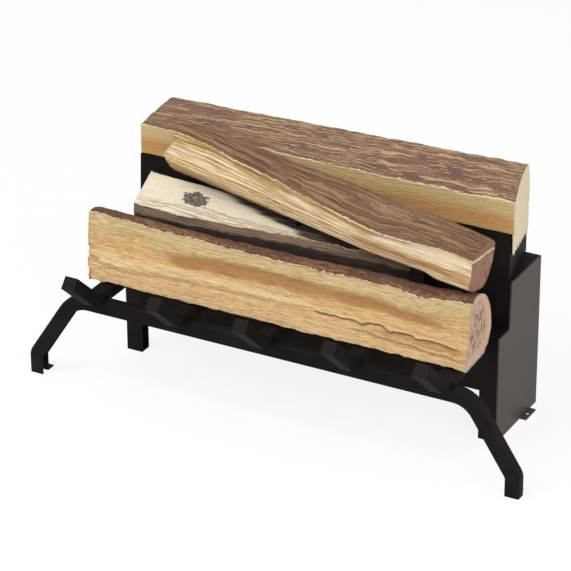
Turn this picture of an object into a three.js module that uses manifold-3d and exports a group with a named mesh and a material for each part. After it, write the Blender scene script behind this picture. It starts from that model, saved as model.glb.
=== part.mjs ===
// Electric fireplace log set: four moulded split logs on a folded steel stand.
// Units are millimetres, +X runs to the right, +Y to the back and +Z up.
// The rail's front face is drawn at Y = 0 and the floor at Z = 0. The whole set is centred at the end.

import * as THREE from 'three';
import { mergeVertices } from 'three/addons/utils/BufferGeometryUtils.js';
import Module from 'manifold-3d';

const wasm = await Module();
wasm.setup();

// Sheet metal and fits
const sheet = 1.6;
const seatGap = 0.3;
const cutMargin = 6;
const holeClearance = 0.35;
const tubeSides = 10;
const roundSides = 24;
const sheetBendSteps = 7;
const foldSteps = 3;

// Front rail with its splayed legs: one open channel, bent four times
const overallWidth = 610;
const railFaceHeight = 16.6;
const railDepth = 13;
const railUndersideHeight = 96.6;
const railFoldRadius = 2.4;
const shoulderInset = 60.6;
const kneeHeight = 24.6;
const shoulderBendRadius = 35;
const kneeBendRadius = 13;
const footTabLength = 10;
const footTabWidth = 12;
const footTabHoleRadius = 1.8;

// Five grate bars, each ending in a raised finger in front of the rail
const barCount = 5;
const barEndInset = 91.8;
const barWidth = 15.8;
const barHeight = 15;
const barProud = 9.8;
const fingerRise = THREE.MathUtils.degToRad(42);
const fingerReach = 45.4;
const fingerBendRadius = 18;
const fingerRootDepth = -6.8;

// Front log: how far behind the rail's face it starts, and how thick it is
const frontLogSetBack = 14;
const frontLogThickness = 76;

// Rear housing: a lower box, a ledge and an upper panel that leans back
const housingLeftInset = 75;
const housingRightInset = 76;
const housingBaseHeight = 59.5;
const housingDepth = 104.5;
const frontLogClearance = 9.5;
const ledgeRise = 4;
const ledgeDepth = 26;
const panelRise = 109;
const panelRake = 5.5;
const endTaperShare = 0.2;

// Right tower, left stand and their floor tabs
const towerLeftInset = 94;
const towerWidth = 22.5;
const towerRise = 55.5;
const standLeftInset = 69;
const standWidth = 20;
const standPostDepth = 15;
const standBridgeHeight = 30;
const floorTabReach = 8;
const towerTabInset = 18;
const towerTabWidth = 26;
const floorTabHoleRadius = 2.4;
const coverTabHeight = 14;

// Log fixings
const logScrewRadius = 2;
const logScrewLength = 34;
const logPinRadius = 3;
const logPinLength = 30;
const logPinHalfLength = logPinLength / 2;

// Screws
const screwRadius = 1.6;
const screwHeadShare = 2;
const screwCrownShare = 0.7;
const screwHeadHeight = 1.8;
const shortScrewLength = 12;
const towerScrewLength = 9;
const bossSize = 9;
const barScrewOffset = 3;

// Light source: lamp board, flicker rotor, bush, coupling and motor
const rotorSetBack = 39;
const rotorDrop = 32.5;
const rotorRadius = 2.5;
const rotorEndInset = 10;
const vaneCount = 14;
const vaneReach = 16;
const vaneWidth = 12;
const vaneThickness = 1;
const vaneTwist = THREE.MathUtils.degToRad(67);
const bushRadius = 6.5;
const bushFlangeRadius = 9;
const bushFlangeThickness = 2;
const bushLength = 9;
const couplingRadius = 6;
const couplingLength = 14;
const motorRadius = 19;
const motorLength = 13;
const motorEarReach = 28;
const motorEarWidth = 9;
const motorEarThickness = 2;
const motorShaftRadius = 2;
const passageRadius = 8.5;
const lampBoardEndInset = 21;
const lampBoardWidth = 32;
const boardThickness = 1.6;
const lampCount = 12;
const lampSize = 6;
const lampHeight = 3;
const standoffRadius = 3.5;
const lampBoardLift = 12;

// Back cover with vents and the light window
const ventCount = 12;
const ventLengthShare = 0.76;
const ventHeight = 4;
const ventRise = 30;
const windowEndInset = 26;
const windowDrop = 16;
const windowHeight = 24;
const windowThickness = 3;
const windowRim = 3;

// Controls in the tower
const controlBoardOffset = 10;
const controlBoardInset = 12.5;
const controlBoardWidth = 74;
const controlBoardBase = 22;
const controlBoardHeight = 92;
const transformerSize = 30;
const transformerThickness = 7;
const relayCount = 2;
const relaySize = 15;
const relaySpacing = 22.5;
const relayThickness = 6;
const capacitorCount = 3;
const capacitorRadius = 4;
const capacitorLength = 7;
const capacitorSpacing = 10;
const boardMargin = 7.5;
const inletWidth = 15;
const inletHeight = 24;
const inletBase = 28;
const inletBodyDepth = 16;
const inletFlange = 2;
const inletWall = 2;
const inletPinRadius = 1.2;
const inletPinSpacing = 8;
const switchWidth = 13;
const switchHeight = 20;
const switchBase = 76;
const switchBodyDepth = 14;
const switchRim = 1.6;
const rockerProud = 2.4;
const rockerRootShare = 0.55;
const rockerShoulderShare = 0.7;
const rockerTipShare = 0.8;
const rockerWaistShare = 0.6;
const rockerTilt = THREE.MathUtils.degToRad(8);
const leadRadius = 1.4;
const leadSides = 6;
const leadSteps = 18;
const grommetHoleRadius = 4.35;
const leadBow = 9;
const motorScrewLength = 4;

// Worked out from the sizes above: places from left to right
const halfWidth = overallWidth / 2;
const shoulderHalfSpan = halfWidth - shoulderInset;
const footMidSpan = halfWidth - railFaceHeight / 2;
const barSpacing = ((halfWidth - barEndInset) * 2) / (barCount - 1);
const housingLeft = housingLeftInset - halfWidth;
const housingRight = halfWidth - housingRightInset;
const towerLeft = halfWidth - towerLeftInset;
const towerRight = towerLeft + towerWidth;
const standLeft = standLeftInset - halfWidth;
const standRight = standLeft + standWidth;
const lowerLeft = standRight + seatGap;
const lowerRight = towerLeft - seatGap;
const controlsX = (towerLeft + towerRight - sheet) / 2;
const rotorEnd = towerLeft - rotorEndInset;
const lampBoardHalfLength = towerLeft - lampBoardEndInset;
const windowHalfLength = towerLeft - windowEndInset;
const ventSpacing = (windowHalfLength * 2) / (ventCount - 1);
const ventLength = ventSpacing * ventLengthShare;

// Heights
const railTopHeight = railUndersideHeight + railFaceHeight;
const railMidHeight = railUndersideHeight + railFaceHeight / 2;
const barTopHeight = railTopHeight + barProud;
const barMidHeight = barTopHeight - barHeight / 2;
const logSeatHeight = barTopHeight + seatGap;
const ledgeHeight = barTopHeight + ledgeRise;
const housingTopHeight = ledgeHeight + panelRise;
const towerTopHeight = ledgeHeight + towerRise;
const towerDeckHeight = towerTopHeight + seatGap;
const rotorHeight = towerTopHeight - rotorDrop;
const lampBoardHeight = housingBaseHeight + sheet + seatGap + lampBoardLift;
const ventRowHeight = housingBaseHeight + ventRise;
const windowBaseHeight = housingTopHeight - windowDrop - windowHeight;

// Places from front to back
const lowerFaceDepth = frontLogSetBack + frontLogThickness + frontLogClearance;
const panelFootDepth = lowerFaceDepth + ledgeDepth;
const panelHeadDepth = panelFootDepth + panelRake;
const panelLean = panelRake / panelRise;
const towerHeadDepth = panelFootDepth + panelLean * towerRise;
const housingRear = lowerFaceDepth + housingDepth;
const coverDepth = housingRear + seatGap;
const towerTabNearDepth = housingRear - towerTabInset - towerTabWidth;
const rotorDepth = housingRear - rotorSetBack;
const lampBoardNearDepth = rotorDepth - lampBoardWidth / 2;
const controlBoardNearDepth = lowerFaceDepth + controlBoardInset;
const leadPassageDepth = controlBoardNearDepth + controlBoardWidth / 2;
const leadPassageHeight = ledgeHeight - cutMargin;

// Lengths of the logs, and how they lie against the housing
const rearLogSpare = 2;
const rearLogInset = 1;
const frontLogShortfall = 143;
const frontLogLength = overallWidth - frontLogShortfall;
const frontLogProud = 5;
const middleLogShortfall = 122;
const middleLogInset = 17;
const topLogShortfall = 62;
const topLogInset = 54;
const topLogAdvance = 28;
const topLogLift = 4.6;
const topLogSwing = 63.1;
const topLogFall = 37.7;

// Logs. Every log is a loft through two or more evenly spaced rings, from its left end to its right.
// A ring is a list of [depth share, height share] corners, and a corner's bark share says how much of
// the bark's relief it takes.

const rearLog = {
  name: 'rear_log',
  colour: 0x6f5346,
  length: housingRight - housingLeft + rearLogSpare,
  depth: 73,
  height: 61,
  relief: 1.1,
  stations: 30,
  ringShares: [
    [
      [0, 0], [0, 0.59], [0.07, 0.62], [0.2, 0.66], [0.36, 0.7], [0.56, 0.75],
      [0.78, 0.8], [0.88, 0.78], [0.96, 0.68], [1, 0.46], [1, 0],
    ],
    [
      [0, 0], [0, 0.63], [0.07, 0.72], [0.2, 0.84], [0.36, 0.92], [0.56, 0.98],
      [0.78, 0.99], [0.88, 0.93], [0.96, 0.76], [1, 0.48], [1, 0],
    ],
  ],
  barkShares: [0, 0, 1, 1, 1, 1, 1, 1, 1, 0, 0],
  heightShares: [1],
  leftCutShare: 0.1,
  rightCutShare: -endTaperShare,
  tipShare: 0,
};

const frontLog = {
  name: 'front_log',
  colour: 0xc79a5f,
  length: frontLogLength,
  depth: frontLogThickness,
  height: 85,
  relief: 0.9,
  stations: 30,
  ringShares: [
    [
      [0.05, 0], [0.08, 0.35], [0.12, 0.71], [0.16, 0.99], [0.29, 1], [0.48, 0.95],
      [0.63, 0.82], [0.72, 0.61], [0.79, 0.29], [0.68, 0],
    ],
    [
      [0.01, 0], [0.08, 0.3], [0.16, 0.61], [0.2, 0.93], [0.36, 0.96], [0.57, 0.93],
      [0.77, 0.82], [0.92, 0.6], [0.98, 0.3], [0.8, 0],
    ],
  ],
  barkShares: [0, 0.4, 0.4, 0, 1, 1, 1, 1, 1, 0],
  heightShares: [1, 0.985, 0.96, 0.945, 0.945, 0.94, 0.955, 0.96, 0.915, 0.98],
  leftCutShare: 0,
  rightCutShare: -0.05,
  tipShare: 0,
};

const middleLog = {
  name: 'middle_log',
  colour: 0xe6d9ba,
  length: frontLogLength - middleLogShortfall,
  depth: 42,
  height: 97,
  relief: 0.8,
  stations: 20,
  ringShares: [
    [
      [0.04, 0.72], [0.5, 0.86], [0.95, 0.99], [1, 0.86], [0.96, 0.4], [0.86, 0],
      [0.56, 0], [0.3, 0.14], [0.12, 0.37], [0.02, 0.6],
    ],
    [
      [0.04, 0.7], [0.5, 0.83], [0.93, 0.95], [0.98, 0.82], [0.94, 0.4], [0.82, 0],
      [0.56, 0], [0.32, 0.14], [0.18, 0.37], [0.04, 0.58],
    ],
  ],
  barkShares: [0, 0.5, 0, 0, 0, 0, 0, 1, 1, 1],
  heightShares: [1, 0.98, 0.97, 0.98, 0.99, 1, 1],
  leftCutShare: 0.05,
  rightCutShare: 0,
  tipShare: 0,
};

const topLog = {
  name: 'top_log',
  colour: 0x84695a,
  length: frontLogLength - topLogShortfall,
  depth: 50,
  height: 57,
  relief: 0.9,
  stations: 26,
  ringShares: [
    [
      [0.02, 0], [-0.02, 0.23], [0.04, 0.53], [0.08, 0.79], [0.24, 0.92], [0.4, 0.89],
      [0.5, 0.71], [0.52, 0.35], [0.44, -0.26], [0.22, -0.14],
    ],
    [
      [0.1, -0.06], [0.07, 0.16], [0.09, 0.4], [0.12, 0.6], [0.23, 0.85], [0.43, 1.03],
      [0.66, 0.81], [0.67, 0.4], [0.55, -0.2], [0.27, -0.16],
    ],
    [
      [0.09, -0.06], [0.08, 0.12], [0.07, 0.28], [0.09, 0.42], [0.21, 0.77], [0.52, 1.07],
      [0.78, 0.86], [0.78, 0.44], [0.62, -0.15], [0.31, -0.17],
    ],
    [
      [0, 0.14], [0.01, 0.31], [0.01, 0.52], [0, 0.77], [0.2, 0.91], [0.68, 1],
      [0.87, 0.86], [0.85, 0.47], [0.66, 0], [0.34, -0.03],
    ],
  ],
  barkShares: [0, 0.4, 0.4, 0, 1, 1, 0.5, 0.3, 0.3, 0],
  heightShares: [1, 1.09, 1.05, 1.02, 1.03, 1.01, 1.01, 1.04, 1],
  leftCutShare: 0.1,
  rightCutShare: 0,
  tipShare: 0.026,
};

// The long furrows in the bark, and how near each end they fade out
const barkFurrowLength = 61;
const barkRipple = { slow: 2.3, fast: 5.1, aroundSlow: 3.7, aroundFast: 1.9 };
const barkFadeShare = 1 / 12;
const tipHeightShare = 0.25;

// Where each log's own origin lies in the set
const rearLogAt = new THREE.Vector3(housingLeft + rearLogInset, panelHeadDepth, housingTopHeight + seatGap);
const frontLogAt = new THREE.Vector3(housingLeft - frontLogProud, frontLogSetBack, logSeatHeight);
const middleLogAt = new THREE.Vector3(
  housingLeft + middleLogInset,
  panelFootDepth - middleLog.depth - seatGap,
  ledgeHeight + seatGap,
);
const topLogAt = new THREE.Vector3(
  housingLeft + topLogInset,
  panelHeadDepth - topLogAdvance,
  housingTopHeight + topLogLift,
);
const topLogYaw = -Math.asin(topLogSwing / topLog.length);
const topLogPitch = Math.asin(topLogFall / topLog.length);

// The ragged lip of the rear log over the housing's right end
const lipThickness = 2.4;
const lipDrop = 22;
const lipTooth = 9;
const lipTeeth = 7;

// Pins between the logs, and the screws into the front log
const frontPinDrop = 36.6;
const middlePinDrop = 26.6;
const middlePinInset = 162;
const middlePinDepth = 21.8;
const frontLogScrewInset = 44;
const frontLogScrewDepth = frontLogAt.y + frontLogScrewInset;

// Materials, one function each

function paintedSteel() {
  return new THREE.MeshStandardMaterial({ color: 0x1f1c1a, roughness: 0.55, metalness: 0.35 });
}

function zincSteel() {
  return new THREE.MeshStandardMaterial({ color: 0x9a9c9e, roughness: 0.35, metalness: 0.9 });
}

function brightAluminium() {
  return new THREE.MeshStandardMaterial({ color: 0xd4d6d8, roughness: 0.2, metalness: 0.95 });
}

function splitWood(colour) {
  return new THREE.MeshStandardMaterial({ color: colour, roughness: 0.8, metalness: 0 });
}

function blackPlastic() {
  return new THREE.MeshStandardMaterial({ color: 0x151515, roughness: 0.45, metalness: 0 });
}

function whitePlastic() {
  return new THREE.MeshStandardMaterial({ color: 0xe6e3dc, roughness: 0.5, metalness: 0 });
}

function boardResin() {
  return new THREE.MeshStandardMaterial({ color: 0x1f5a36, roughness: 0.5, metalness: 0 });
}

function frostedAcrylic() {
  return new THREE.MeshStandardMaterial({ color: 0xe9ecee, roughness: 0.4, metalness: 0 });
}

function softRubber() {
  return new THREE.MeshStandardMaterial({ color: 0x1b1b1b, roughness: 0.9, metalness: 0 });
}

function bearingBrass() {
  return new THREE.MeshStandardMaterial({ color: 0xb08d4a, roughness: 0.35, metalness: 0.9 });
}

// Solid modelling helpers

function toSolid(geometry) {
  const bare = geometry.clone();
  bare.deleteAttribute('normal');
  bare.deleteAttribute('uv');
  const welded = mergeVertices(bare);
  return new wasm.Manifold(new wasm.Mesh({
    numProp: 3,
    vertProperties: new Float32Array(welded.attributes.position.array),
    triVerts: new Uint32Array(welded.index.array),
  }));
}

function toGeometry(solid) {
  const mesh = solid.getMesh();
  const geometry = new THREE.BufferGeometry();
  geometry.setAttribute('position', new THREE.BufferAttribute(mesh.vertProperties, 3));
  geometry.setIndex(new THREE.BufferAttribute(mesh.triVerts, 1));
  geometry.computeVertexNormals();
  return geometry;
}

function join(solids) {
  return solids.reduce((whole, solid) => whole.add(solid));
}

function drill(body, holes) {
  return holes.reduce((rest, hole) => rest.subtract(hole), body);
}

function block(minX, maxX, minY, maxY, minZ, maxZ) {
  const geometry = new THREE.BoxGeometry(maxX - minX, maxY - minY, maxZ - minZ);
  geometry.translate((minX + maxX) / 2, (minY + maxY) / 2, (minZ + maxZ) / 2);
  return toSolid(geometry);
}

// A round bar along one axis: the first two numbers are its ends on that axis,
// the others its centre on the two remaining axes in X, Y, Z order.
function roundBar(axis, start, end, first, second, radius, sides = tubeSides) {
  const geometry = new THREE.CylinderGeometry(radius, radius, end - start, sides);
  const middle = (start + end) / 2;
  if (axis === 'x') {
    geometry.rotateZ(-Math.PI / 2);
    geometry.translate(middle, first, second);
  } else if (axis === 'y') {
    geometry.translate(first, middle, second);
  } else {
    geometry.rotateX(Math.PI / 2);
    geometry.translate(first, second, middle);
  }
  return toSolid(geometry);
}

function signedArea(outline) {
  return THREE.ShapeUtils.area(outline);
}

function signedVolume(positions, index) {
  const a = new THREE.Vector3();
  const b = new THREE.Vector3();
  const c = new THREE.Vector3();
  let volume = 0;
  for (let k = 0; k < index.length; k += 3) {
    a.fromArray(positions, index[k] * 3);
    b.fromArray(positions, index[k + 1] * 3);
    c.fromArray(positions, index[k + 2] * 3);
    volume += a.dot(b.cross(c)) / 6;
  }
  return volume;
}

// Skin over rings of points, with both ends closed. The outline is the flat form of the first ring.
function loft(rings, outline) {
  const count = outline.length;
  const positions = rings.flat().flatMap((point) => point.toArray());
  const index = [];
  for (let ring = 0; ring < rings.length - 1; ring += 1) {
    for (let k = 0; k < count; k += 1) {
      const a = ring * count + k;
      const b = ring * count + ((k + 1) % count);
      index.push(a, b, b + count, a, b + count, a + count);
    }
  }
  const turn = Math.sign(signedArea(outline));
  const last = (rings.length - 1) * count;
  for (const face of THREE.ShapeUtils.triangulateShape(outline, [])) {
    const corners = face.map((k) => outline[k]);
    const [a, b, c] = Math.sign(signedArea(corners)) === turn ? face : [...face].reverse();
    index.push(c, b, a, last + a, last + b, last + c);
  }
  if (signedVolume(positions, index) < 0) {
    index.reverse();
  }
  const geometry = new THREE.BufferGeometry();
  geometry.setAttribute('position', new THREE.Float32BufferAttribute(positions, 3));
  geometry.setIndex(index);
  geometry.computeVertexNormals();
  return geometry;
}

// A prism along X over a depth-height outline. Each end may follow a cut that depends on depth.
function prismAlongX(outline, leftCut, rightCut) {
  const left = outline.map((p) => new THREE.Vector3(leftCut(p.x), p.x, p.y));
  const right = outline.map((p) => new THREE.Vector3(rightCut(p.x), p.x, p.y));
  return toSolid(loft([left, right], outline));
}

function points(pairs) {
  return pairs.map(([x, y]) => new THREE.Vector2(x, y));
}

// Moves every edge of an outline inwards by the same distance.
function insetOutline(outline, distance) {
  const turn = Math.sign(signedArea(outline));
  const count = outline.length;
  return outline.map((corner, k) => {
    const before = corner.clone().sub(outline[(k + count - 1) % count]).normalize();
    const after = outline[(k + 1) % count].clone().sub(corner).normalize();
    const inBefore = new THREE.Vector2(-before.y, before.x).multiplyScalar(turn);
    const inAfter = new THREE.Vector2(-after.y, after.x).multiplyScalar(turn);
    const middle = inBefore.add(inAfter).normalize();
    const spread = middle.dot(inAfter);
    return corner.clone().addScaledVector(middle, distance / spread);
  });
}

// Stations along a bent centre line. Each has a place and the direction of the section's own "up".
function bentPath(corners, radii) {
  const stations = [];
  const direction = (k) => corners[k + 1].clone().sub(corners[k]).normalize();
  const upOf = (along) => new THREE.Vector2(-along.y, along.x);
  stations.push({ at: corners[0].clone(), up: upOf(direction(0)) });
  for (let k = 1; k < corners.length - 1; k += 1) {
    const arriving = direction(k - 1);
    const leaving = direction(k);
    const bend = Math.atan2(arriving.cross(leaving), arriving.dot(leaving));
    const radius = radii[k - 1];
    const start = corners[k].clone().addScaledVector(arriving, -radius * Math.tan(Math.abs(bend) / 2));
    const centre = start.clone().addScaledVector(upOf(arriving), radius * Math.sign(bend));
    for (let step = 0; step <= sheetBendSteps; step += 1) {
      const angle = bend * (step / sheetBendSteps);
      const at = start.clone().rotateAround(centre, angle);
      stations.push({ at, up: upOf(arriving).rotateAround(new THREE.Vector2(), angle) });
    }
  }
  const lastLeg = corners.length - 2;
  stations.push({ at: corners.at(-1).clone(), up: upOf(direction(lastLeg)) });
  return stations;
}

// Rounds chosen corners of an outline. A corner with no radius stays sharp.
function roundedOutline(corners, radii) {
  const count = corners.length;
  return corners.flatMap((corner, k) => {
    if (radii[k] === 0) {
      return [corner.clone()];
    }
    const before = corners[(k + count - 1) % count].clone().sub(corner).setLength(radii[k]);
    const after = corners[(k + 1) % count].clone().sub(corner).setLength(radii[k]);
    const curve = new THREE.QuadraticBezierCurve(before.add(corner), corner, after.add(corner));
    return curve.getPoints(foldSteps);
  });
}

function piece(name, shape, material) {
  const geometry = shape.isBufferGeometry ? shape : toGeometry(shape);
  const mesh = new THREE.Mesh(geometry, material);
  mesh.name = name;
  return mesh;
}

// A pan-head screw, pointing up its own +Z, with the head's seat at zero.
function screwShape(radius, length) {
  const headRadius = radius * screwHeadShare;
  const tipLength = radius;
  const profile = points([
    [0, -screwHeadHeight],
    [headRadius * screwCrownShare, -screwHeadHeight],
    [headRadius, -screwHeadHeight / 2],
    [headRadius, 0],
    [radius, 0],
    [radius, length - tipLength],
    [0, length],
  ]);
  const geometry = new THREE.LatheGeometry(profile, tubeSides);
  geometry.rotateX(Math.PI / 2);
  return toGeometry(toSolid(geometry));
}

function screw(name, radius, length, at, turnX = 0, turnY = 0) {
  const mesh = piece(name, screwShape(radius, length), zincSteel());
  mesh.position.copy(at);
  mesh.rotation.set(turnX, turnY, 0);
  return mesh;
}

// Stand

function channelOutline() {
  const half = railFaceHeight / 2;
  const corners = points([
    [-half, 0],
    [half, 0],
    [half, railDepth],
    [-half, railDepth],
    [-half, railDepth - sheet],
    [half - sheet, railDepth - sheet],
    [half - sheet, sheet],
    [-half, sheet],
  ]);
  return roundedOutline(corners, [0, railFoldRadius, railFoldRadius, 0, 0, 0, 0, 0]);
}

function footTab(side) {
  const inner = side * (halfWidth - railFaceHeight);
  const outer = side * (halfWidth - railFaceHeight + footTabWidth);
  const tab = block(
    Math.min(inner, outer), Math.max(inner, outer),
    railDepth - sheet, railDepth + footTabLength,
    0, sheet,
  );
  const holeDepth = railDepth + footTabLength / 2;
  const hole = roundBar('z', -cutMargin, cutMargin, (inner + outer) / 2, holeDepth, footTabHoleRadius);
  return tab.subtract(hole);
}

function frontRail() {
  const corners = points([
    [-footMidSpan, 0],
    [-footMidSpan, kneeHeight],
    [-shoulderHalfSpan, railMidHeight],
    [shoulderHalfSpan, railMidHeight],
    [footMidSpan, kneeHeight],
    [footMidSpan, 0],
  ]);
  const radii = [kneeBendRadius, shoulderBendRadius, shoulderBendRadius, kneeBendRadius];
  const outline = channelOutline();
  const rings = bentPath(corners, radii).map(({ at, up }) => outline.map((p) => (
    new THREE.Vector3(at.x + up.x * p.x, p.y, at.y + up.y * p.x)
  )));
  return join([toSolid(loft(rings, outline)), footTab(-1), footTab(1)]);
}

function barX(k) {
  return (k - (barCount - 1) / 2) * barSpacing;
}

function betweenBars(k) {
  return barX(k) + barSpacing / 2;
}

function barNumbers() {
  return [...Array(barCount).keys()];
}

function takesLogScrew(k) {
  return k % 2 === 1;
}

// The bar screws sit a little off centre, so that the end ones miss the housing's side walls.
function barScrewX(k) {
  return barX(k) + barScrewOffset;
}

function screwHole(axis, start, end, first, second, radius = screwRadius) {
  return roundBar(axis, start, end, first, second, radius + holeClearance);
}

// One grate bar, drawn about its own centre line. It is notched to saddle the rail.
function grateBar(logScrewDepths) {
  const half = barWidth / 2;
  const rise = barHeight / 2;
  const outline = points([[-half, -rise], [half, -rise], [half, rise], [-half, rise]]);
  const tip = new THREE.Vector2(
    -fingerRootDepth + fingerReach,
    barMidHeight + fingerReach * Math.tan(fingerRise),
  );
  const corners = [
    new THREE.Vector2(seatGap - lowerFaceDepth, barMidHeight),
    new THREE.Vector2(-fingerRootDepth, barMidHeight),
    tip,
  ];
  const rings = bentPath(corners, [fingerBendRadius]).map(({ at, up }) => outline.map((p) => (
    new THREE.Vector3(p.x, -(at.x + up.x * p.y), at.y + up.y * p.y)
  )));
  const saddle = block(
    -half - cutMargin, half + cutMargin,
    -seatGap, railDepth + seatGap,
    barMidHeight - barHeight, railTopHeight + seatGap,
  );
  const threadStart = lowerFaceDepth - shortScrewLength;
  const holes = [screwHole('y', threadStart, lowerFaceDepth + cutMargin, barScrewOffset, barMidHeight)];
  for (const depth of logScrewDepths) {
    const base = barMidHeight - barHeight;
    holes.push(screwHole('z', base, barTopHeight + cutMargin, 0, depth, logScrewRadius));
  }
  return drill(toSolid(loft(rings, outline)), [saddle, ...holes]);
}

function towerOutline() {
  return points([
    [lowerFaceDepth, 0],
    [lowerFaceDepth, ledgeHeight],
    [panelFootDepth, ledgeHeight],
    [towerHeadDepth, towerTopHeight],
    [housingRear, towerTopHeight],
    [housingRear, 0],
  ]);
}

function standOutline() {
  const bridgeBase = ledgeHeight - standBridgeHeight;
  return points([
    [lowerFaceDepth, 0],
    [lowerFaceDepth, ledgeHeight],
    [housingRear, ledgeHeight],
    [housingRear, 0],
    [housingRear - standPostDepth, 0],
    [housingRear - standPostDepth, bridgeBase],
    [lowerFaceDepth + standPostDepth, bridgeBase],
    [lowerFaceDepth + standPostDepth, 0],
  ]);
}

// A folded tray that lies on its side: a flat back with walls all round, open at the far end.
function foldedTray(outline, backX, openX) {
  const inward = Math.sign(openX - backX);
  const body = prismAlongX(outline, () => backX, () => openX);
  const pocket = prismAlongX(
    insetOutline(outline, sheet),
    () => backX + inward * sheet,
    () => openX + inward * cutMargin,
  );
  return body.subtract(pocket);
}

function floorTab(startX, side, nearDepth, farDepth) {
  const endX = startX + side * floorTabReach;
  const rootX = startX - side * sheet;
  const tab = block(Math.min(rootX, endX), Math.max(rootX, endX), nearDepth, farDepth, 0, sheet);
  const middleX = startX + side * floorTabReach / 2;
  const middleDepth = (nearDepth + farDepth) / 2;
  return tab.subtract(roundBar('z', -cutMargin, cutMargin, middleX, middleDepth, floorTabHoleRadius));
}

function leftStand() {
  const tray = foldedTray(standOutline(), standLeft, standRight);
  return tray.add(floorTab(standLeft, -1, housingRear - standPostDepth, housingRear));
}

function towerCasing() {
  const tray = foldedTray(towerOutline(), towerLeft, towerRight - sheet - seatGap);
  const wall = [towerLeft - cutMargin, towerLeft + cutMargin];
  const rear = [housingRear - cutMargin, housingRear + cutMargin];
  const front = [lowerFaceDepth - cutMargin, lowerFaceDepth + cutMargin];
  const holes = [
    screwHole('y', ...front, barScrewX(barCount - 1), barMidHeight),
    roundBar('x', ...wall, rotorDepth, rotorHeight, passageRadius, roundSides),
    roundBar('x', ...wall, leadPassageDepth, leadPassageHeight, grommetHoleRadius, roundSides),
    block(
      controlsX - inletWidth / 2 - holeClearance, controlsX + inletWidth / 2 + holeClearance,
      ...rear,
      inletBase - holeClearance, inletBase + inletHeight + holeClearance,
    ),
    block(
      controlsX - switchWidth / 2 - holeClearance, controlsX + switchWidth / 2 + holeClearance,
      ...rear,
      switchBase - holeClearance, switchBase + switchHeight + holeClearance,
    ),
    ...motorScrewPlaces().map((place) => screwHole('x', ...wall, place.y, place.z)),
    ...coverScrewHeights().map((height) => screwHole('y', ...rear, coverTabX(), height)),
  ];
  return drill(tray, holes);
}

function coverTabX() {
  return towerRight - sheet - bossSize / 2;
}

function coverScrewHeights() {
  const rise = towerTopHeight - coverTabHeight;
  return [coverTabHeight, rise];
}

// The tower's outer plate is plain outside. Two lugs inside take the screws from the back.
function towerSidePlate() {
  const plate = prismAlongX(towerOutline(), () => towerRight - sheet, () => towerRight);
  const lugBack = housingRear - sheet - seatGap;
  const lugs = coverScrewHeights().map((height) => block(
    towerRight - sheet - bossSize, towerRight,
    lugBack - bossSize, lugBack,
    height - bossSize / 2, height + bossSize / 2,
  ));
  const holes = coverScrewHeights().map((height) => (
    screwHole('y', lugBack - bossSize - cutMargin, housingRear, coverTabX(), height)
  ));
  const tab = floorTab(towerRight, 1, towerTabNearDepth, towerTabNearDepth + towerTabWidth);
  return drill(join([plate, ...lugs, tab]), holes);
}

// Rear housing

function housingRightCut(depth) {
  return housingRight - endTaperShare * (depth - panelHeadDepth);
}

// The housing's outer block, or with an inset its inner space, which runs out at the open back.
function housingBlock(inset) {
  const rear = housingRear + (inset > 0 ? cutMargin : 0);
  const upper = points([
    [panelFootDepth + inset, ledgeHeight - inset],
    [panelHeadDepth + inset, housingTopHeight - inset],
    [rear, housingTopHeight - inset],
    [rear, ledgeHeight - inset],
  ]);
  const lower = points([
    [lowerFaceDepth + inset, housingBaseHeight + inset],
    [lowerFaceDepth + inset, ledgeHeight - inset],
    [rear, ledgeHeight - inset],
    [rear, housingBaseHeight + inset],
  ]);
  const upperBlock = prismAlongX(
    upper,
    () => housingLeft + inset,
    (depth) => housingRightCut(depth) - inset,
  );
  const lowerBlock = prismAlongX(lower, () => lowerLeft + inset, () => lowerRight - inset);
  const towerSpace = block(
    lowerRight - inset, housingRight + cutMargin,
    0, rear + cutMargin,
    0, towerDeckHeight + inset,
  );
  return upperBlock.subtract(towerSpace).add(lowerBlock);
}

// The room above the housing's walls, which the lid fills.
function lidSpace() {
  return block(
    housingLeft - cutMargin, housingRight + cutMargin,
    0, housingRear + cutMargin,
    housingTopHeight - sheet - seatGap, housingTopHeight + cutMargin,
  );
}

function backScrewPlaces() {
  const upper = housingTopHeight - sheet - bossSize / 2;
  const lower = housingBaseHeight + sheet + bossSize / 2;
  const endSpan = lowerRight - bossSize * 2;
  return [
    new THREE.Vector2(-endSpan, upper),
    new THREE.Vector2(endSpan, upper),
    new THREE.Vector2(-endSpan, lower),
    new THREE.Vector2(endSpan, lower),
  ];
}

function housingBoss(place) {
  const half = bossSize / 2;
  const root = Math.sign(place.y - rotorHeight) * sheet;
  return block(
    place.x - half, place.x + half,
    housingRear - shortScrewLength - sheet, housingRear,
    place.y - half + Math.min(root, 0), place.y + half + Math.max(root, 0),
  );
}

function rearLogScrewPlaces() {
  const depth = (panelHeadDepth + housingRear) / 2;
  return [0, barCount - 2].map((k) => new THREE.Vector2(betweenBars(k), depth));
}

function ledgeScrewPlaces() {
  const depth = (lowerFaceDepth + panelFootDepth) / 2;
  return [0, barCount - 3].map((k) => new THREE.Vector2(betweenBars(k), depth));
}

function isUpper(place) {
  return place.y > rotorHeight;
}

// The flat lid lies on the walls. The rear log is screwed to it, and the back cover to its two bosses.
function housingLid() {
  const lidBase = housingTopHeight - sheet;
  const outline = points([
    [panelHeadDepth, lidBase],
    [panelHeadDepth, housingTopHeight],
    [housingRear, housingTopHeight],
    [housingRear, lidBase],
  ]);
  const plate = prismAlongX(outline, () => housingLeft, housingRightCut);
  const bosses = backScrewPlaces().filter(isUpper);
  const holes = [
    ...bosses.map(backScrewHole),
    ...rearLogScrewPlaces().map((place) => screwHole(
      'z', housingTopHeight - cutMargin, housingTopHeight + cutMargin, place.x, place.y, logScrewRadius,
    )),
  ];
  return drill(join([plate, ...bosses.map(housingBoss)]), holes);
}

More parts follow.
